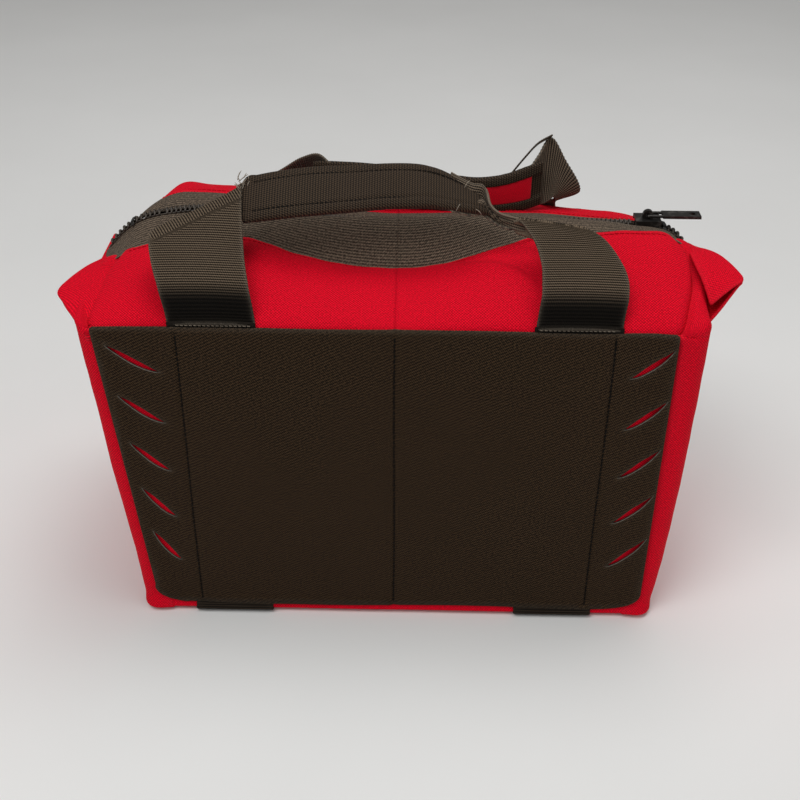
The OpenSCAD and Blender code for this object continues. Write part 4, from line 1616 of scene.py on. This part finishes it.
def zip_stop(side):
    """A flat metal staple bent over both coil rows, following the slope of the zip's end."""
    x = side * (place("right_zip_stop")[0][0] + 1)
    base = float(curve(x, ZIP))
    slope = math.atan(float(curve(x + 2, ZIP) - curve(x - 2, ZIP)) / 4)
    level = np.array([math.cos(slope), 0, math.sin(slope)])
    up = np.array([-math.sin(slope), 0, math.cos(slope)])
    rows = []
    for a in np.linspace(0, 1, 25):
        y = -5.6 * math.cos(a * math.pi)
        high = 2.5 - 2.2 * abs(math.cos(a * math.pi)) ** 8
        rows.append([np.array([x, y, base]) + up * high + level * d for d in (-1.1, -0.8, 0, 0.8, 1.1)])
    below = np.array([x, 0, base - 20])
    piece = skin(f"{HAND[side]}_zip_staple", np.array(rows), 0.6, below, gunmetal)
    settle(piece, "zip_metal", "shell", f"{HAND[side]}_zip_stop")


# ---- Stage, light and camera -------------------------------------------------------------------


def stage():
    """A pale matt floor in a soft even room."""
    mesh = bpy.data.meshes.new("floor")
    size = 6.0
    corners = [(-size, -size, 0), (size, -size, 0), (size, size, 0), (-size, size, 0)]
    mesh.from_pydata(corners, [], [(0, 1, 2, 3)])
    floor = bpy.data.objects.new("floor", mesh)
    bpy.context.scene.collection.objects.link(floor)
    n = Nodes("floor_matt")
    where = n.new("ShaderNodeTexCoord").outputs["Object"]
    cloud = n.noise(where, 3.0, 4.0, 0.5)
    pale = n.ramp(cloud, [(0.3, (0.80, 0.80, 0.79)), (0.7, (0.84, 0.84, 0.83))])
    n.set(Base_Color=pale, Roughness=0.9)
    mesh.materials.append(n.material)
    world = bpy.data.worlds.new("soft_room")
    world.use_nodes = True
    background = world.node_tree.nodes["Background"]
    background.inputs["Color"].default_value = (1.0, 0.985, 0.96, 1)
    background.inputs["Strength"].default_value = 0.20
    bpy.context.scene.world = world


def lamp(name, spot, target, power, size):
    """A square soft light at a spot, turned to a target."""
    data = bpy.data.lights.new(name, "AREA")
    data.energy, data.size = power, size
    obj = bpy.data.objects.new(name, data)
    bpy.context.scene.collection.objects.link(obj)
    obj.location = spot
    obj.rotation_euler = (Vector(target) - Vector(spot)).to_track_quat("-Z", "Y").to_euler()


def camera():
    """The photograph's viewpoint, from a camera fitted to the outline of the front face."""
    elevation, azimuth, roll = (math.radians(a) for a in (32.84, -0.64, 0.52))
    spot = (0.0100, -0.6943, 0.5570)
    ahead = Vector((math.sin(azimuth), math.cos(azimuth), 0))
    forward = ahead * math.cos(elevation) - Vector((0, 0, math.sin(elevation)))
    level = Vector((math.cos(azimuth), -math.sin(azimuth), 0))
    up = level.cross(forward)
    right = level * math.cos(roll) + up * math.sin(roll)
    top = up * math.cos(roll) - level * math.sin(roll)
    data = bpy.data.cameras.new("camera")
    data.sensor_width, data.lens = 36.0, 53.19
    obj = bpy.data.objects.new("camera", data)
    bpy.context.scene.collection.objects.link(obj)
    turn = Matrix((right, top, -forward)).transposed().to_4x4()
    obj.matrix_world = Matrix.Translation(spot) @ turn
    bpy.context.scene.camera = obj


camera()
stage()
lamp("key", (-0.6, -0.9, 2.0), (0, 0, 0.2), 16, 1.0)
lamp("top", (0.3, 0.3, 2.0), (0, 0, 0.2), 16, 1.2)
lamp("right_fill", (1.5, -1.2, 1.0), (0, 0, 0.15), 7.0, 1.6)
lamp("left_fill", (-1.5, -1.2, 0.9), (0, 0, 0.15), 4.5, 1.6)
bpy.context.scene.view_settings.view_transform = "Standard"

for half in (FRONT, REAR):
    wall(half)
for side in (LEFT, RIGHT):
    end_panel(side)
bottom_panel()
base_board()
for half in (FRONT, REAR):
    foam(half)
for side in (LEFT, RIGHT):
    binding(side)
for half in (FRONT, REAR):
    overlay(half)
for side in (LEFT, RIGHT):
    girth_strap(side)
for side in (LEFT, RIGHT):
    for half in (FRONT, REAR):
        top_panel(half, side)
        zip_tape(half, side)
        zip_coil(half, side)
    zip_end(side)
    top_end(side)
for side in (LEFT, RIGHT):
    ear(side)
front_left_strap()
front_right_strap()
front_grip()
front_twist()
front_grip_lining()
rear_grip()
rear_grip_back_layer()
for side in (RIGHT, LEFT):
    rear_strap(side)
strap_feet()
hardware()
for side in (LEFT, RIGHT):
    zip_stop(side)
